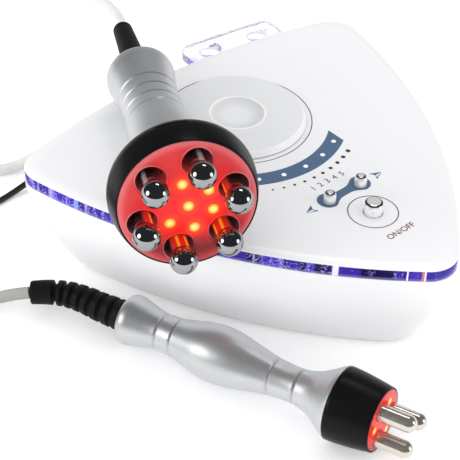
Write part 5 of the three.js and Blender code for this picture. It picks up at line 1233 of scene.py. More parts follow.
def make_print(slate, grey, maroon):
    """Flat plates of ink: two rings, the level bar, the dots, the buttons' panel, two arrowheads and letters."""
    z0, z1 = LID_TOP + 0.01, LID_TOP + PRINT_THICKNESS

    def printed(name, surface, material):
        """One plate of ink on the lid."""
        return dress(mesh_object(name, surface, on_console), material, "console")

    printed("print_dial_ring", ring_plate(DIAL_RING_R - 0.25, DIAL_RING_R + 0.25, 0, 0, z0, z1, 200), grey)
    power_ring = ring_plate(POWER_RING_R - 0.32, POWER_RING_R + 0.2, 0, POWER_RING_Y, z0, z1, 120)
    printed("print_power_ring", power_ring, grey)

    # Level bar: between two arcs round the dial, its ends cut straight, x = R sin a for both arcs
    inner, outer = LEVEL_BAR
    share = np.linspace(-1, 1, 90)
    x = share * LEVEL_BAR_HALF
    low = np.stack([x, -np.sqrt(outer**2 - x**2)], -1)
    high = np.stack([x, -np.sqrt(inner**2 - x**2)], -1)
    printed("print_level_bar", strip(low, high, z0, z1), slate)

    # Scale dots, each smaller than the one before
    dots = []
    for i in range(10):
        angle = math.radians(SCALE_DOT_FIRST + i * SCALE_DOT_STEP)
        r = 1.3 - 0.075 * i
        x, y = SCALE_DOT_RING_R * math.cos(angle), SCALE_DOT_RING_R * math.sin(angle)
        dots.append(turned_at([(0, z0), (r, z0), (r, z1), (0, z1)], 28, x, y))
    printed("print_scale_dots", together(dots), grey)

    # Panel round the intensity buttons: its half-height is a waist that swells by a cosine into two round lobes
    lobe_x, lobe_r, waist, middle_y = 11.3, 5.9, 2.55, -83.6
    swell = lobe_x * np.linspace(-1, 1, 81)
    swell_half = waist + (lobe_r - waist) * (1 - np.cos(np.pi * (np.abs(swell) / lobe_x) ** 1.7)) / 2
    turn = np.linspace(0, np.pi / 2, 17)[1:]
    end_x, end_half = lobe_x + lobe_r * np.sin(turn), lobe_r * np.cos(turn)
    x = np.concatenate([-end_x[::-1], swell, end_x])
    half = np.concatenate([end_half[::-1], swell_half, end_half])
    printed("print_intensity_panel", strip(np.c_[x, middle_y - half], np.c_[x, middle_y + half], z0, z1), slate)

    for side, way in (("left", -1), ("right", 1)):
        strips = [strip(np.array(low) * [way, 1], np.array(high) * [way, 1], z0, z1) for low, high in ARROW_STRIPS]
        printed(f"print_arrow_{side}", together(strips), slate)

    letters("print_on_off", "ON/OFF", -9.3, -126.0, 3.7, maroon, 1.0, 0.03)
    letters("print_numbers", "1 2 3 4 5", -11.6, -73.2, 3.7, grey, 1.22, 0.0)


# Rear connectors


def make_connectors(steel, black):
    """Two round sockets with chamfered mouths, one with its five contacts in sight, and the power jack."""
    for node, x in (("large_handset_socket", LARGE_SOCKET_X), ("small_handset_socket", SMALL_SOCKET_X)):
        barrel = [(0, -16), (SOCKET_R, -16), (SOCKET_R, -2)]
        flange = [(9, -2), (9, -0.6), (8.3, 0)]
        mouth = [(6.1, 0), (5.6, -0.5), (5.6, -9), (0, -9)]
        profile = [*barrel, *flange, *mouth]
        place = facing_back(x, SOCKET_FACE_Y)
        piece = mesh_object(f"{node}_shell", turned(softened(profile, 0.25, 3), 72), place)
        dress(piece, steel, "console", [node])
        if node == "small_handset_socket":
            contact = [(0, -9.1), (0.45, -9.1), (0.45, -4.4), (0.25, -4), (0, -4)]
            contacts = [turned_at(contact, 16, px, py) for px, py in ring_places(3.1, 5, 30)]
            dress(mesh_object("socket_contacts", together(contacts), place), steel, "console")
    barrel = [(0, -13), (JACK_R, -13), (JACK_R, -2)]
    profile = [*barrel, (6, -2), (6, -0.5), (5.5, 0), (3.4, 0), (3, -0.4), (3, -9), (0, -9)]
    place = facing_back(POWER_JACK_X, SOCKET_FACE_Y)
    jack = mesh_object("power_jack_shell", turned(softened(profile, 0.2, 3), 56), place)
    dress(jack, black, "console", ["power_jack"])


# Large handset


def make_large_lens(material):
    """Crowned disc, z = rise sqrt(1 - (r/R)^2) - edge, with a round-mouthed well at each electrode."""
    rise = LARGE_LENS_CROWN + LARGE_LENS_EDGE
    angle = np.linspace(0, np.pi / 2, 40)
    crown = np.stack([LARGE_LENS_R * np.cos(angle), rise * np.sin(angle) - LARGE_LENS_EDGE], -1)
    profile = [(0, -11), (LARGE_LENS_R, -11), *crown]
    lens = mesh_object("large_lens_clear", turned(profile, 160), on_large)
    tools = []
    face, soft = 0.78, 0.75
    mouth = [(WELL_R + soft * (1 - math.sin(a)), face - soft * math.cos(a)) for a in np.linspace(math.pi / 2, 0, 6)]
    for i, (x, y) in enumerate(ring_places(ELECTRODE_RING_R, 6, ELECTRODE_PHASE)):
        rows = [(0, -WELL_DEPTH), (WELL_R, -WELL_DEPTH), *mouth, (WELL_R + soft, 4), (0, 4)]
        tools.append(mesh_object(f"well_{i}", turned_at(rows, 72, x, y), on_large))
    combine(lens, tools, sharp=40)
    return dress(lens, material, "large_handset", ["large_lens"])


LARGE_COLLAR = [
    (0.7, 34.2),
    (1.2, 34.45),
    (4.5, 35.35),
    (10, 36.35),
    (14.5, 36.7),
    (18.5, 35.7),
    (22.3, 31.5),
    (24.8, 26.3),
    (26.6, 21.6),
    (27.2, 20.4),
]


def make_large_collar(material):
    """Smooth black collar, radius on a spline of the distance behind the face, with a slot near its widest ring."""
    outside = spline(LARGE_COLLAR, 10)[:, ::-1] * [1, -1]
    bore = [(18.2, -27.2), (18.2, -22), (27.6, -20), (32.6, -14), (32.6, -9.3), (33.9, -9.3), (33.9, -0.9)]
    lip = [(34.0, -0.6)]
    piece = mesh_object("large_head_collar_shell", turned_ring([*outside, *bore, *lip], 160), on_large)
    slots = []
    for i, middle in enumerate((97, 187, 277)):
        angle = np.radians(np.linspace(middle - 12, middle + 12, 24))
        rows = []
        for r, z in ((35.4, -15.1), (38.5, -15.1), (38.5, -14.0), (35.4, -14.0)):
            rows.append(np.stack([r * np.cos(angle), r * np.sin(angle), z + 0 * angle], -1))
        points = np.stack(rows, 1).reshape(-1, 3)
        slots.append(mesh_object(f"slot_{i}", (points, barred_faces(len(angle))), on_large))
    combine(piece, slots)
    return dress(piece, material, "large_handset", ["large_head_collar"])


def make_electrodes(chrome):
    """Ball, r = R cos a, z = out + R sin a, on a neck with a small fillet, and its stud."""
    start = -math.acos(ELECTRODE_NECK_R / ELECTRODE_BALL_R)
    angle = np.linspace(start, math.pi / 2, 30)
    ball = np.stack([ELECTRODE_BALL_R * np.cos(angle), ELECTRODE_BALL_OUT + ELECTRODE_BALL_R * np.sin(angle)], -1)
    seat = -WELL_DEPTH + CLEARANCE
    shank = [(0, -17.5), (2.5, -17.5), (2.5, seat), (ELECTRODE_NECK_R, seat), (ELECTRODE_NECK_R, ball[0, 1] - 0.4)]
    profile = np.concatenate([softened([*shank, ball[1]], 0.4, 3), ball[2:]])
    for i, (x, y) in enumerate(ring_places(ELECTRODE_RING_R, 6, ELECTRODE_PHASE)):
        piece = mesh_object(f"ball_electrode_{i + 1}_bright", turned_at(profile, 64, x, y), on_large, 50)
        dress(piece, chrome, "large_handset", [f"ball_electrode_{i + 1}"])


LARGE_GRIP = [
    (27.5, 20.2),
    (45, 19.4),
    (60, 18.4),
    (73, 17.2),
    (88, 16.1),
    (98, 15.9),
    (108, 16.2),
    (123, 17.52),
    (131, 18.55),
    (133.6, 18.6),
]


def make_large_grip(silver):
    """Turned grip: its radius on a spline, three V grooves and a fainter one, and a rounded tail."""
    grooves = [(78, 0.5, 0.25), (88, 0.85, 0.75), (98, 0.85, 0.75), (108, 0.85, 0.75)]
    rows = grooved(smooth_radius(LARGE_GRIP), 27.5, 133.6, grooves)
    turn = np.linspace(0, np.pi / 2, 10)[1:]
    tail = np.stack([16.6 + 2.0 * np.cos(turn), 133.6 + 2.4 * np.sin(turn)], -1)
    inside = [(6.9, 136), (6.9, 133), (13.6, 133), (13.6, 88), (15.6, 55), (15.6, 23.2), (17.9, 23.2), (17.9, 27.5)]
    loop = np.concatenate([rows, tail, inside]) * [1, -1]
    piece = mesh_object("large_grip_turned", turned_ring(loop, 128), on_large)
    return dress(piece, silver, "large_handset", ["large_grip_shell"])


def ribbed_radius(s, length, root, tip, starts, width, depth):
    """Radius along a strain relief: a straight taper less a rounded groove at each start,
    depth sin(pi (s - start) / width)^0.7 within its width."""
    r = root + (tip - root) * s / length
    for start in starts:
        u = np.clip((s - start) / width, 0, 1)
        r = r - depth * np.sin(np.pi * u) ** 0.7
    return r


def make_large_relief(rubber):
    """Tapered strain relief with fine ribs, and its flange inside the grip."""
    length = 59.7
    s = np.linspace(0, length - 1, 360)
    r = ribbed_radius(s, length, 7.5, 5.5, np.arange(3, 56, 3.1), 1.1, 0.42)
    root = 136.3
    head = [(0, 130.4), (8.6, 130.4), (8.6, 132.7), (6.6, 132.7), (6.6, root), (7.2, root)]
    tip = [(5.2, root + length - 0.3), (4.4, root + length), (0, root + length)]
    profile = np.concatenate([head, np.stack([r, root + s], -1), tip]) * [1, -1]
    piece = mesh_object("large_strain_relief_ribbed", turned(profile, 56), on_large, 40)
    return dress(piece, rubber, "large_handset", ["large_strain_relief"])


# Small handset


SMALL_GROOVES = [19, 28, 84.1, 98.1]
SMALL_LAMPS = [tuple(p) for p in ring_places(9.6, 3, PIN_PHASE + 60)]


def make_small_grip(silver):
    """Turned grip: tail rim, waist, bulge and flare on one spline, with four V grooves."""
    stations = [
        (2, 13.5),
        (7.2, 12.1),
        (13.3, 10.5),
        (19, 9.75),
        (28, 10.45),
        (36, 12.3),
        (44, 14.2),
        (52.3, 14.9),
        (61, 14.2),
        (72, 11.9),
        (84.1, 9.7),
        (98.1, 9.2),
        (106, 11.1),
        (113.2, 15.2),
        (117.5, 18.0),
        (119.7, 18.9),
    ]
    grooves = [(at, 0.85, 0.8) for at in SMALL_GROOVES]
    rows = grooved(smooth_radius(stations), 2, 119.7, grooves)
    turn = np.linspace(0, np.pi / 2, 10)
    tail = np.stack([10.9 + 2.6 * np.sin(turn), 0.4 - 3.4 * np.cos(turn)], -1)
    inside = [(16.0, 119.7), (16.0, 124), (13.6, 124), (13.6, 119.7), (7.2, 107), (7.2, 84), (12.6, 52), (7.2, 28)]
    inside += [(7.2, 19), (9, 7.2), (9.2, 0), (6.9, 0), (6.9, -3)]
    loop = np.concatenate([tail, rows, inside])
    piece = mesh_object("small_grip_turned", turned_ring(loop, 112), on_small)
    return dress(piece, silver, "small_handset", ["small_grip_shell"])


def make_head_cup(black):
    """Tapered cup, radius R - (R - r) s^1.6 along its length, with a small round at its mouth."""
    start, end = 120.0, SMALL_FACE
    s = np.linspace(0, 1, 30)
    outside = np.stack([18.9 - 2.4 * s**1.6, start + (end - start) * s * 0.985], -1)
    lip = [(16.4, end - 0.1), (16.15, end)]
    inside = [(15.9, end), (15.9, 137.1), (14.6, 137.1), (14.6, 132.5), (13.6, 132.5), (13.6, 124.3), (16.2, 124.3)]
    inside += [(16.2, start)]
    loop = np.concatenate([[(18.7, start)], outside[1:], lip, inside])
    piece = mesh_object("small_head_cup_shell", turned_ring(loop, 112), on_small)
    return dress(piece, black, "small_handset", ["small_head_cup"])


def make_small_lens(material):
    """Disc with a low round edge, z = face + 0.6 sin a, and a hole round each pin."""
    rear, hole_r = 137.4, PIN_R + CLEARANCE
    angle = np.linspace(0, np.pi / 2, 16)
    crown = np.stack([SMALL_LENS_R * np.cos(angle), SMALL_FACE + 0.6 * np.sin(angle)], -1)
    lens = mesh_object("small_lens_clear", turned([(0, rear), (SMALL_LENS_R, rear), *crown], 112), on_small)
    tools = []
    for i, (x, y) in enumerate(ring_places(PIN_RING_R, 3, PIN_PHASE)):
        bore = turned_at([(0, rear - 1), (hole_r, rear - 1), (hole_r, 150), (0, 150)], 56, x, y)
        tools.append(mesh_object(f"pin_hole_{i}", bore, on_small))
    combine(lens, tools, sharp=40)
    return dress(lens, material, "small_handset", ["small_lens"])


def make_pins(steel):
    """Round-ended pin: a shank and a half ball, r = R cos a, z = end - R + R sin a."""
    end = SMALL_FACE + PIN_OUT
    angle = np.linspace(0, np.pi / 2, 20)
    tip = np.stack([PIN_R * np.cos(angle), end - PIN_R + PIN_R * np.sin(angle)], -1)
    profile = np.concatenate([[(0, 129.3), (2.5, 129.3), (2.5, 134.7), (PIN_R, 134.7)], tip])
    for i, (x, y) in enumerate(ring_places(PIN_RING_R, 3, PIN_PHASE)):
        piece = mesh_object(f"pin_electrode_{i + 1}_bright", turned_at(profile, 56, x, y), on_small, 50)
        dress(piece, steel, "small_handset", [f"pin_electrode_{i + 1}"])


SMALL_RELIEF_ROUTE = [(-119.7, -18.2, 12.5), (-124, -8.2, 11.9), (-130, -0.5, 11.3), (-137, 5.5, 10.8)]


def make_small_relief(rubber):
    """Strain relief that bends where it lies: out of the tail along the handset's axis and then on its own route,
    with a plain root, deep rounded grooves and a plain end."""
    root = -3.3
    straight = on_small(np.array([[0, 0, root - 8.3 * i] for i in range(3)]))
    path = spline(np.vstack([straight, np.array(SMALL_RELIEF_ROUTE) + CONSOLE]), 40)
    gone = np.concatenate([[0], np.cumsum(np.linalg.norm(np.diff(path, axis=0), axis=1))])
    length = gone[-1]
    s = np.linspace(0, length, 320)
    line = np.stack([np.interp(s, gone, path[:, k]) for k in range(3)], -1)
    starts = np.array([0.09, 0.21, 0.325, 0.435, 0.54, 0.64, 0.735]) * length
    r = ribbed_radius(s, length, 8.4, 6.2, starts, 3.1, 2.1)
    end = np.clip((length - s) / 1.2, 0, 1)
    r = r * (0.72 + 0.28 * np.sqrt(1 - (1 - end) ** 2))
    flange = on_small(np.array([[0, 0, 2.6], [0, 0, 2.6], [0, 0, 0.3], [0, 0, 0.3], [0, 0, root]]))
    flange_r = [0.001, 8.6, 8.6, 6.6, 6.6]
    points = np.vstack([flange, line, line[-1:]])
    radii = np.concatenate([flange_r, r, [0.001]])
    piece = mesh_object("small_strain_relief_ribbed", swept_stepped(points, radii), sharp=40)
    return dress(piece, rubber, "small_handset", ["small_strain_relief"])


def swept_stepped(points, radii, sides=48):
    """As swept, but points may repeat where the radius steps: they share the way ahead of their neighbours."""
    nudge = np.arange(len(points))[:, None] * 1e-5
    ahead = points[-1] - points[0]
    ahead = ahead / np.linalg.norm(ahead)
    return swept(points + nudge * ahead, radii, sides)


# Cords

LARGE_CORD_OUT = [
    (-3.2, 96.8, 75.9),
    (1.6, 105.6, 74.9),
    (5.6, 115, 73.6),
    (8.6, 126, 72.4),
    (10.4, 138, 71.2),
    (9.4, 152, 69.6),
    (5, 167, 67.6),
    (-5.5, 181, 65.3),
    (-19, 194, 61),
    (-33, 204.5, 54),
    (-47, 213, 45),
    (-61, 219.5, 34.5),
    (-75, 224, 24),
    (-90, 226, 14),
    (-105, 227.8, 7.6),
    (-120, 227.6, 4.2),
    (-132.5, 226.2, 3.3),
    (-143.3, 225.925, 3.2),
]
LARGE_CORD_BACK = [
    (-143.3, 143.075, 10.2),
    (-132, 143, 9.3),
    (-121, 141, 6.6),
    (-111, 136.5, 4.3),
    (-102.5, 130, 3.4),
    (-95, 121.5, 3.4),
    (-86.5, 113.5, 3.4),
    (-76, 108, 4.2),
    (-65, 105, 7),
    (-55.5, 102, 11),
    (-48, 97, 15.2),
    (-43.4, 90.5, 18.6),
    (-42, 84, 19.9),
    (-42, 77.95, 20),
]
SMALL_CORD_OUT = [
    (-137.45, 5.89, 10.76),
    (-143.8, 11.3, 9.3),
    (-152, 17.6, 6.9),
    (-161, 24.8, 4.8),
    (-170, 33, 3.6),
    (-180, 42.3, 3.35),
    (-191, 51.6, 3.35),
    (-203.5, 59.8, 3.35),
    (-216, 64.4, 3.3),
    (-225.3, 64.975, 3.2),
]
POWER_LEAD_OUT = [
    (-66, 67.9, 20),
    (-66.1, 75.5, 19.2),
    (-68.5, 82.8, 15),
    (-73.5, 87.8, 9.2),
    (-81.5, 90, 4.4),
    (-92, 90, 2.2),
    (-104, 88.9, 1.85),
    (-120, 87.9, 1.85),
    (-134, 87.6, 1.85),
    (-146.2, 87.55, 1.75),
]
LARGE_COIL = dict(x=-150, y=184.5, inner=29, per_layer=1.75, layers=2, start=90, sense=1)
SMALL_COIL = dict(x=-232, y=22, inner=27, per_layer=2.25, layers=2, start=90, sense=1)
POWER_COIL = dict(x=-150, y=112, inner=15, per_layer=2.25, layers=4, start=-90, sense=-1)


def coil(diameter, x, y, inner, per_layer, layers, start, sense, steps=30):
    """Centre line of a coil: r runs in and out again by one pitch a turn, layer by layer, and z climbs a diameter
    and a gap in the half turn round each reversal."""
    pitch = diameter + COIL_TURN_GAP
    span = 2 * np.pi * per_layer
    turn = np.linspace(0, span * layers, int(per_layer * layers * steps) + 1)
    layer = np.minimum(np.floor(turn / span + 1e-9), layers - 1)
    shift = pitch * (turn - layer * span) / (2 * np.pi)
    outer = inner + pitch * per_layer
    r = np.where(layer % 2 == 0, outer - shift, inner + shift)
    z = diameter / 2 + 0 * turn
    for k in range(1, layers):
        z = z + (diameter + COIL_LAYER_GAP) * np.clip((turn - k * span) / np.pi + 0.5, 0, 1)
    angle = math.radians(start) + sense * turn
    return np.stack([x + r * np.cos(angle), y + r * np.sin(angle), z], -1)


def cord_object(name, stretches, diameter, material, nodes):
    """A round cord as one open line through its stretches."""
    line = np.vstack(stretches) + CONSOLE
    data = bpy.data.curves.new(name, "CURVE")
    data.dimensions = "3D"
    data.bevel_depth = diameter / 2 * MM
    data.bevel_resolution = 5
    data.use_fill_caps = True
    track = data.splines.new("POLY")
    track.points.add(len(line) - 1)
    track.points.foreach_set("co", np.c_[line * MM, np.ones(len(line))].reshape(-1))
    track.use_smooth = True
    cord = in_scene(name, data)
    dress(cord, material, "console", nodes)
    length = np.linalg.norm(np.diff(line, axis=0), axis=1).sum() * MM
    return cord, line[0] * MM, float(length)


def plug_profile(body_r, body, relief_r, relief, cord_r):
    """Plug about Z: a body with a waist for the fingers and a ribbed strain relief."""
    s = np.linspace(0, relief - 1, 60)
    r = ribbed_radius(s, relief, relief_r, cord_r + 0.6, np.arange(1.5, relief - 3, 2.6), 1.2, 0.45)
    grip = softened(
        [
            (0, 0),
            (body_r - 0.8, 0),
            (body_r, 0.8),
            (body_r, body * 0.5),
            (body_r - 0.7, body * 0.6),
            (body_r - 0.5, body - 1.2),
            (relief_r + 0.6, body - 0.2),
            (relief_r, body),
        ],
        0.8,
        4,
    )
    end = [(cord_r + 0.3, body + relief), (0, body + relief)]
    return np.concatenate([grip, np.stack([r, body + s], -1)[1:], end])


def make_plugs(black, steel):
    """Two handset plugs and the barrel plug, each with its metal nose down. The small handset's plug lies beside its
    coil, tilted from the cord's height down to the floor."""
    plug = plug_profile(PLUG_R, PLUG_BODY, 4.4, PLUG_RELIEF, HANDSET_CORD_D / 2)
    barrel = plug_profile(4.6, 14, 2.6, 10, POWER_LEAD_D / 2)
    nose = softened([(0, -8.5), (4.8, -8.5), (5.3, -8.0), (5.3, 0), (0, 0)], 0.2, 3)
    tip = softened([(0, -8.5), (2.4, -8.5), (2.7, -8.1), (2.7, 0), (0, 0)], 0.2, 3)

    outer = SMALL_COIL["inner"] + (HANDSET_CORD_D + COIL_TURN_GAP) * SMALL_COIL["per_layer"]
    cord_z = HANDSET_CORD_D / 2 + (HANDSET_CORD_D + COIL_LAYER_GAP) * (SMALL_COIL["layers"] - 1)
    plug_length = PLUG_BODY + PLUG_RELIEF
    turn = -math.pi / 2 - math.asin((cord_z - PLUG_R - 0.1) / plug_length)

    def lying(p):
        """Turns the plug about its tail until it lies, and carries it to the end of the small cord."""
        along = p[:, 2] - plug_length
        x = p[:, 0] * math.cos(turn) + along * math.sin(turn)
        z = -p[:, 0] * math.sin(turn) + along * math.cos(turn)
        place = np.array([SMALL_COIL["x"] + HANDSET_CORD_D + CLEARANCE, SMALL_COIL["y"] - outer, cord_z])
        return np.stack([x, p[:, 1], z], -1) + CONSOLE + place

    made = {}
    seat = SOCKET_FACE_Y + CLEARANCE
    for name, body, metal, place, sides in (
        ("large_cord_plug", plug, nose, facing_back(LARGE_SOCKET_X, seat), 64),
        ("small_cord_plug", plug, nose, lying, 64),
        ("power_lead_plug", barrel, tip, facing_back(POWER_JACK_X, seat), 48),
    ):
        shell = mesh_object(f"{name}_body", turned(body, sides), place)
        dress(shell, black, "console", [name])
        metal_piece = mesh_object(f"{name}_nose", turned(metal, sides), place)
        dress(metal_piece, steel, "console")
        made[name] = [shell, metal_piece]
    return made


def make_adapter(black, steel):
    """Rounded block: a section |y/b|^5.5 + |z/c|^5.5 = 1, drawn in at its ends, with a joint line, two round pins
    and a ribbed strain relief."""
    coil_outer = POWER_COIL["inner"] + (POWER_LEAD_D + COIL_TURN_GAP) * POWER_COIL["per_layer"]
    lead_y = POWER_COIL["y"] - coil_outer
    lead_z = POWER_LEAD_D / 2 + (POWER_LEAD_D + COIL_LAYER_GAP) * (POWER_COIL["layers"] - 1)
    right = POWER_COIL["x"] - POWER_LEAD_D - CLEARANCE - ADAPTER_RELIEF
    left = right - ADAPTER_LENGTH
    middle_z = ADAPTER_HALF_HEIGHT + 0.1
    start = np.array([0, 0.15, 0.6, 1.4, ADAPTER_END_ROUND])
    joint = ADAPTER_JOINT_AT + np.array([-0.4, -0.2, 0.2, 0.4])
    along = np.unique(np.concatenate([start, np.linspace(4, 54, 12), ADAPTER_LENGTH - start, joint]))
    end = np.minimum(along, ADAPTER_LENGTH - along)
    drawn = ADAPTER_END_ROUND * (1 - np.sqrt(1 - np.clip(1 - end / ADAPTER_END_ROUND, 0, 1) ** 2))
    drawn = drawn + 0.35 * (np.abs(along - ADAPTER_JOINT_AT) < 0.25)
    angle = np.linspace(0, 2 * np.pi, 96, endpoint=False)
    power = 2 / 5.5
    c = np.sign(np.cos(angle)) * np.abs(np.cos(angle)) ** power
    s = np.sign(np.sin(angle)) * np.abs(np.sin(angle)) ** power
    half_y, half_z = ADAPTER_HALF_WIDTH - drawn[:, None], ADAPTER_HALF_HEIGHT - drawn[:, None]
    rings = np.stack([left + along[:, None] + 0 * c, lead_y + half_y * c, middle_z + half_z * s], -1)
    body = mesh_object("wall_adapter_body", lofted(list(rings)), on_console)
    dress(body, black, "console", ["wall_adapter"])
    run = np.linspace(0, ADAPTER_RELIEF - 1, 90)
    tip_r = POWER_LEAD_D / 2 + 0.6
    r = ribbed_radius(run, ADAPTER_RELIEF, ADAPTER_RELIEF_R, tip_r, np.arange(3, 19, 2.7), 1.3, 0.45)
    root = [(0, -1), (ADAPTER_RELIEF_R, -1)]
    rows = np.concatenate([root, np.stack([r, run], -1), [(2, ADAPTER_RELIEF), (0, ADAPTER_RELIEF)]])
    points, faces = turned(rows, 48)
    relief = (points[:, [2, 1, 0]] * [1, 1, -1] + [right, lead_y, lead_z], faces)
    relief_piece = mesh_object("wall_adapter_relief", relief, on_console)
    dress(relief_piece, black, "console")
    pins = []
    for way in (-1, 1):
        rows = softened([(0, 1), (2, 1), (2, -17.6), (1.5, -19), (0, -19)], 0.6, 4)
        points, faces = turned(rows, 40)
        pins.append((points[:, [2, 1, 0]] * [1, 1, -1] + [left, lead_y + way * ADAPTER_PIN_OFFSET, middle_z], faces))
    pins_piece = mesh_object("wall_adapter_pins", together(pins), on_console)
    dress(pins_piece, steel, "console")
    return [body, relief_piece, pins_piece]


def make_cords(white, grey, black):
    """Each cord is a spline from its handset or jack, its coil, and a spline or a straight end."""
    per_span = 8
    parts = [spline(LARGE_CORD_OUT, per_span), coil(HANDSET_CORD_D, **LARGE_COIL), spline(LARGE_CORD_BACK, per_span)]
    nodes = ["large_cord_out", "large_cord_coil", "large_cord_back"]
    cord, start, length = cord_object("large_cord", parts, HANDSET_CORD_D, white, nodes)
    wound = coil(HANDSET_CORD_D, **SMALL_COIL)
    end = wound[-1:] + [HANDSET_CORD_D + CLEARANCE, 0, 0]
    parts = [spline(SMALL_CORD_OUT, per_span), wound, end]
    nodes = ["small_cord_out", "small_cord_coil"]
    cord, start, length = cord_object("small_cord", parts, HANDSET_CORD_D, grey, nodes)
    wound = coil(POWER_LEAD_D, **POWER_COIL)
    end = wound[-1:] + [-POWER_LEAD_D - CLEARANCE - 50, 0, 0]
    parts = [spline(POWER_LEAD_OUT, per_span), wound, end]
    nodes = ["power_lead_out", "power_lead_coil"]
    cord, start, length = cord_object("power_lead", parts, POWER_LEAD_D, black, nodes)


# Camera, lights and floor

CAMERA_AZIMUTH, CAMERA_ELEVATION, CAMERA_ROLL = -42.347, 39.397, 1.978
CAMERA_DISTANCE = 768.78
CAMERA_TARGET = np.array([-65.927, -69.809, 64.24]) + CONSOLE
FOCAL_PIXELS, FRAME_PIXELS, SENSOR_MM = 1543.9, 460, 36


def camera_axes():
    """Right, up and back of the camera from its azimuth, elevation and roll."""
    a, e, r = (math.radians(v) for v in (CAMERA_AZIMUTH, CAMERA_ELEVATION, CAMERA_ROLL))
    back = Vector((math.sin(a) * math.cos(e), -math.cos(a) * math.cos(e), math.sin(e)))
    right = (-back).cross(Vector((0, 0, 1))).normalized()
    up = right.cross(-back)
    return right * math.cos(r) + up * math.sin(r), up * math.cos(r) - right * math.sin(r), back


def make_camera():
    """The photograph's camera: it looks at its target from its distance, with its focal length in pixels."""
    data = bpy.data.cameras.new("camera")
    data.sensor_width = SENSOR_MM
    data.lens = FOCAL_PIXELS / FRAME_PIXELS * SENSOR_MM
    data.clip_start, data.clip_end = 0.01, 20
    camera = in_scene("camera", data)
    right, up, back = camera_axes()
    turn = Matrix((right, up, back)).transposed().to_4x4()
    place = Vector(CAMERA_TARGET * MM) + back * CAMERA_DISTANCE * MM
    camera.matrix_world = Matrix.Translation(place) @ turn
    bpy.context.scene.camera = camera


def area_lamp(name, direction, distance, power, size, shape="DISK", size_y=None):
    """A soft lamp that looks at the machine from a direction."""
    data = bpy.data.lights.new(name, "AREA")
    data.shape = shape
    data.size = size
    if size_y:
        data.size_y = size_y
    data.energy = power
    lamp = in_scene(name, data)
    way = Vector(direction).normalized()
    lamp.location = way * distance + Vector((0, 0, 0.06))
    lamp.rotation_euler = way.to_track_quat("Z", "Y").to_euler()
    lamp.visible_camera = False
    return lamp


def make_lights():
    """Two round soft boxes beside the camera, a small one over the back, and a broad low fill that isn't seen in
    gloss."""
    right, _, back = camera_axes()
    level_back = Vector((back.x, back.y, 0)).normalized()
    area_lamp("left_soft_box", back * 0.45 - right * 0.88 + Vector((0, 0, 0.1)), 1.2, 4.0, 0.56)
    area_lamp("right_soft_box", back * 0.32 + right * 0.94 + Vector((0, 0, 0.06)), 1.2, 2.4, 0.56)
    area_lamp("top_soft_box", Vector((0, 0, 0.9)) - level_back * 0.45 + right * 0.1, 1.3, 1.6, 0.4, "RECTANGLE", 0.2)
    fill = area_lamp("front_fill", level_back * 0.9 - right * 0.45 + Vector((0, 0, 0.1)), 1.6, 6.5, 1.3)
    fill.visible_glossy = False


def make_world():
    """White to the camera and through clear plastic; an even pale light on surfaces; in gloss, a pale horizon on
    the far side and a dark room overhead and on the camera's side."""
    world = bpy.data.worlds.new("studio")
    bpy.context.scene.world = world
    shader = Shader(world)
    camera_ray, glossy_ray, through_ray = shader.rays()
    _, _, back = camera_axes()
    direction = shader.node("ShaderNodeTexCoord", output="Generated")
    settings = {"operation": "DOT_PRODUCT"}
    towards = shader.node("ShaderNodeVectorMath", settings, {0: direction, 1: back}, output="Value")
    _, _, up = shader.parts(direction)
    dark_side = towards.above(-0.4, 0.5)
    overhead = up.above(0.42, 0.5)
    room = shader.mix(dark_side.or_more(overhead), rgba((0.42, 0.43, 0.44)), rgba((0.05, 0.051, 0.055)))
    tone = shader.mix(glossy_ray, rgba((0.9, 0.9, 0.91)), room)
    tone = shader.mix(camera_ray.or_more(through_ray), tone, WHITE)
    background = shader.node("ShaderNodeBackground", inputs={"Color": tone, "Strength": 1.0})
    shader.node("ShaderNodeOutputWorld", inputs={"Surface": background})


def make_floor():
    """Pale table top: it takes the shadow, and a little light of its own makes it white to the camera, in gloss and
    through clear plastic."""
    half = 3000
    table = mesh_object("table", block(-half, half, -half, half, -20, 0))
    material = bpy.data.materials.new("table_top")
    shader = Shader(material)
    camera_ray, glossy_ray, through_ray = shader.rays()
    shown = camera_ray.or_more(glossy_ray.or_more(through_ray))
    plain = shader.node("ShaderNodeBsdfDiffuse", inputs={"Color": rgba((0.93, 0.93, 0.935))})
    glow = shader.node("ShaderNodeEmission", inputs={"Color": WHITE, "Strength": shown * 0.22})
    both = shader.node("ShaderNodeAddShader", inputs={0: plain, 1: glow})
    shader.node("ShaderNodeOutputMaterial", inputs={"Surface": both})
    table.data.materials.append(material)


# Everything

make_camera()

steel = polished("steel", (0.74, 0.71, 0.64), 0.17, 0.08)
black = moulded("black_gloss", (0.007, 0.007, 0.0075), 0.32, 0.000015, 2500, 0.3, Specular_IOR_Level=0.1)
white_sheath = sheath("white_cord", (0.82, 0.82, 0.8), 0.42)
grey_sheath = sheath("grey_cord", (0.4, 0.395, 0.37), 0.5)
black_sheath = sheath("black_lead", (0.01, 0.01, 0.011), 0.5)
plugs = make_plugs(black, steel)
adapter = make_adapter(black, steel)
make_cords(white_sheath, grey_sheath, black_sheath)

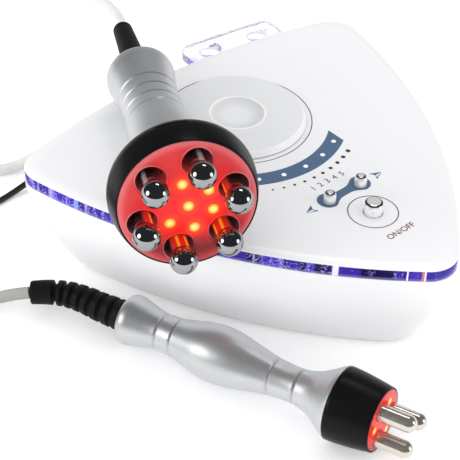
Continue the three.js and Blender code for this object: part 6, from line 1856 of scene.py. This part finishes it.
rubber = moulded("black_rubber", (0.009, 0.009, 0.0095), 0.5, 0.00005, 1600, 0.3, Specular_IOR_Level=0.12)
slate = ink("slate_ink", (0.085, 0.15, 0.255))
grey_ink = ink("grey_ink", (0.05, 0.052, 0.06))
maroon = ink("maroon_ink", (0.17, 0.03, 0.055))
make_lid(moulded("white_gloss", (0.895, 0.897, 0.905), 0.22, tint=0.02, Specular_IOR_Level=0.4))
make_light_band(violet_band())
# The hull's white is painted lighter than the lid's, to offset the shade on its sloping sides
make_base_shell(moulded("shell_white_painted_lighter", (0.93, 0.932, 0.938), 0.3, tint=0.015, Specular_IOR_Level=0.3))
make_holder(clear_holder())
make_dial(dial_plastic())
make_buttons()
make_level_lights(lamp_resin("level_lamp", (0.88, 0.92, 1.0), 0.25))
make_feet(rubber)
make_print(slate, grey_ink, maroon)
make_connectors(steel, black)

silver = satin_silver()
wells = [(x, y, WELL_R + 0.35) for x, y in ring_places(ELECTRODE_RING_R, 6, ELECTRODE_PHASE)]
large_frame = (LARGE_PLACE, LARGE_YAW, LARGE_TILT)
make_large_lens(glowing_lens("red_lens_large", *large_frame, LARGE_LAMPS, 2.5, LARGE_LENS_R, wells))
make_large_collar(black)
make_electrodes(electrodes_with_painted_glow())
make_large_grip(silver)
make_large_relief(rubber)

small_frame = (tuple(on_small(np.array([0, 0, SMALL_FACE]))), SMALL_YAW, SMALL_TILT)
make_small_lens(glowing_lens("red_lens_small", *small_frame, SMALL_LAMPS, 2.0, SMALL_LENS_R * 1.3))
make_head_cup(black)
make_pins(polished("pin_steel", (0.68, 0.645, 0.57), 0.2, 0.06, 0.85))
make_small_grip(silver)
make_small_relief(rubber)

# CAD nodes that stay, with their finishes
board = circuit_board()
STAYING = {
    "control_board": board,
    "rf_board": board,
    "large_light_board": board,
    "small_light_board": board,
    "rf_transformer": wound_copper(),
    "dial_encoder": steel,
    "case_screw_front": steel,
    "case_screw_left": steel,
    "case_screw_right": steel,
    "power_switch": black,
    "intensity_down_switch": black,
    "intensity_up_switch": black,
}
for node, material in STAYING.items():
    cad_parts[node].data.materials.clear()
    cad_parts[node].data.materials.append(material)

make_lights()
make_world()
make_floor()
bpy.context.scene.view_settings.view_transform = "Standard"
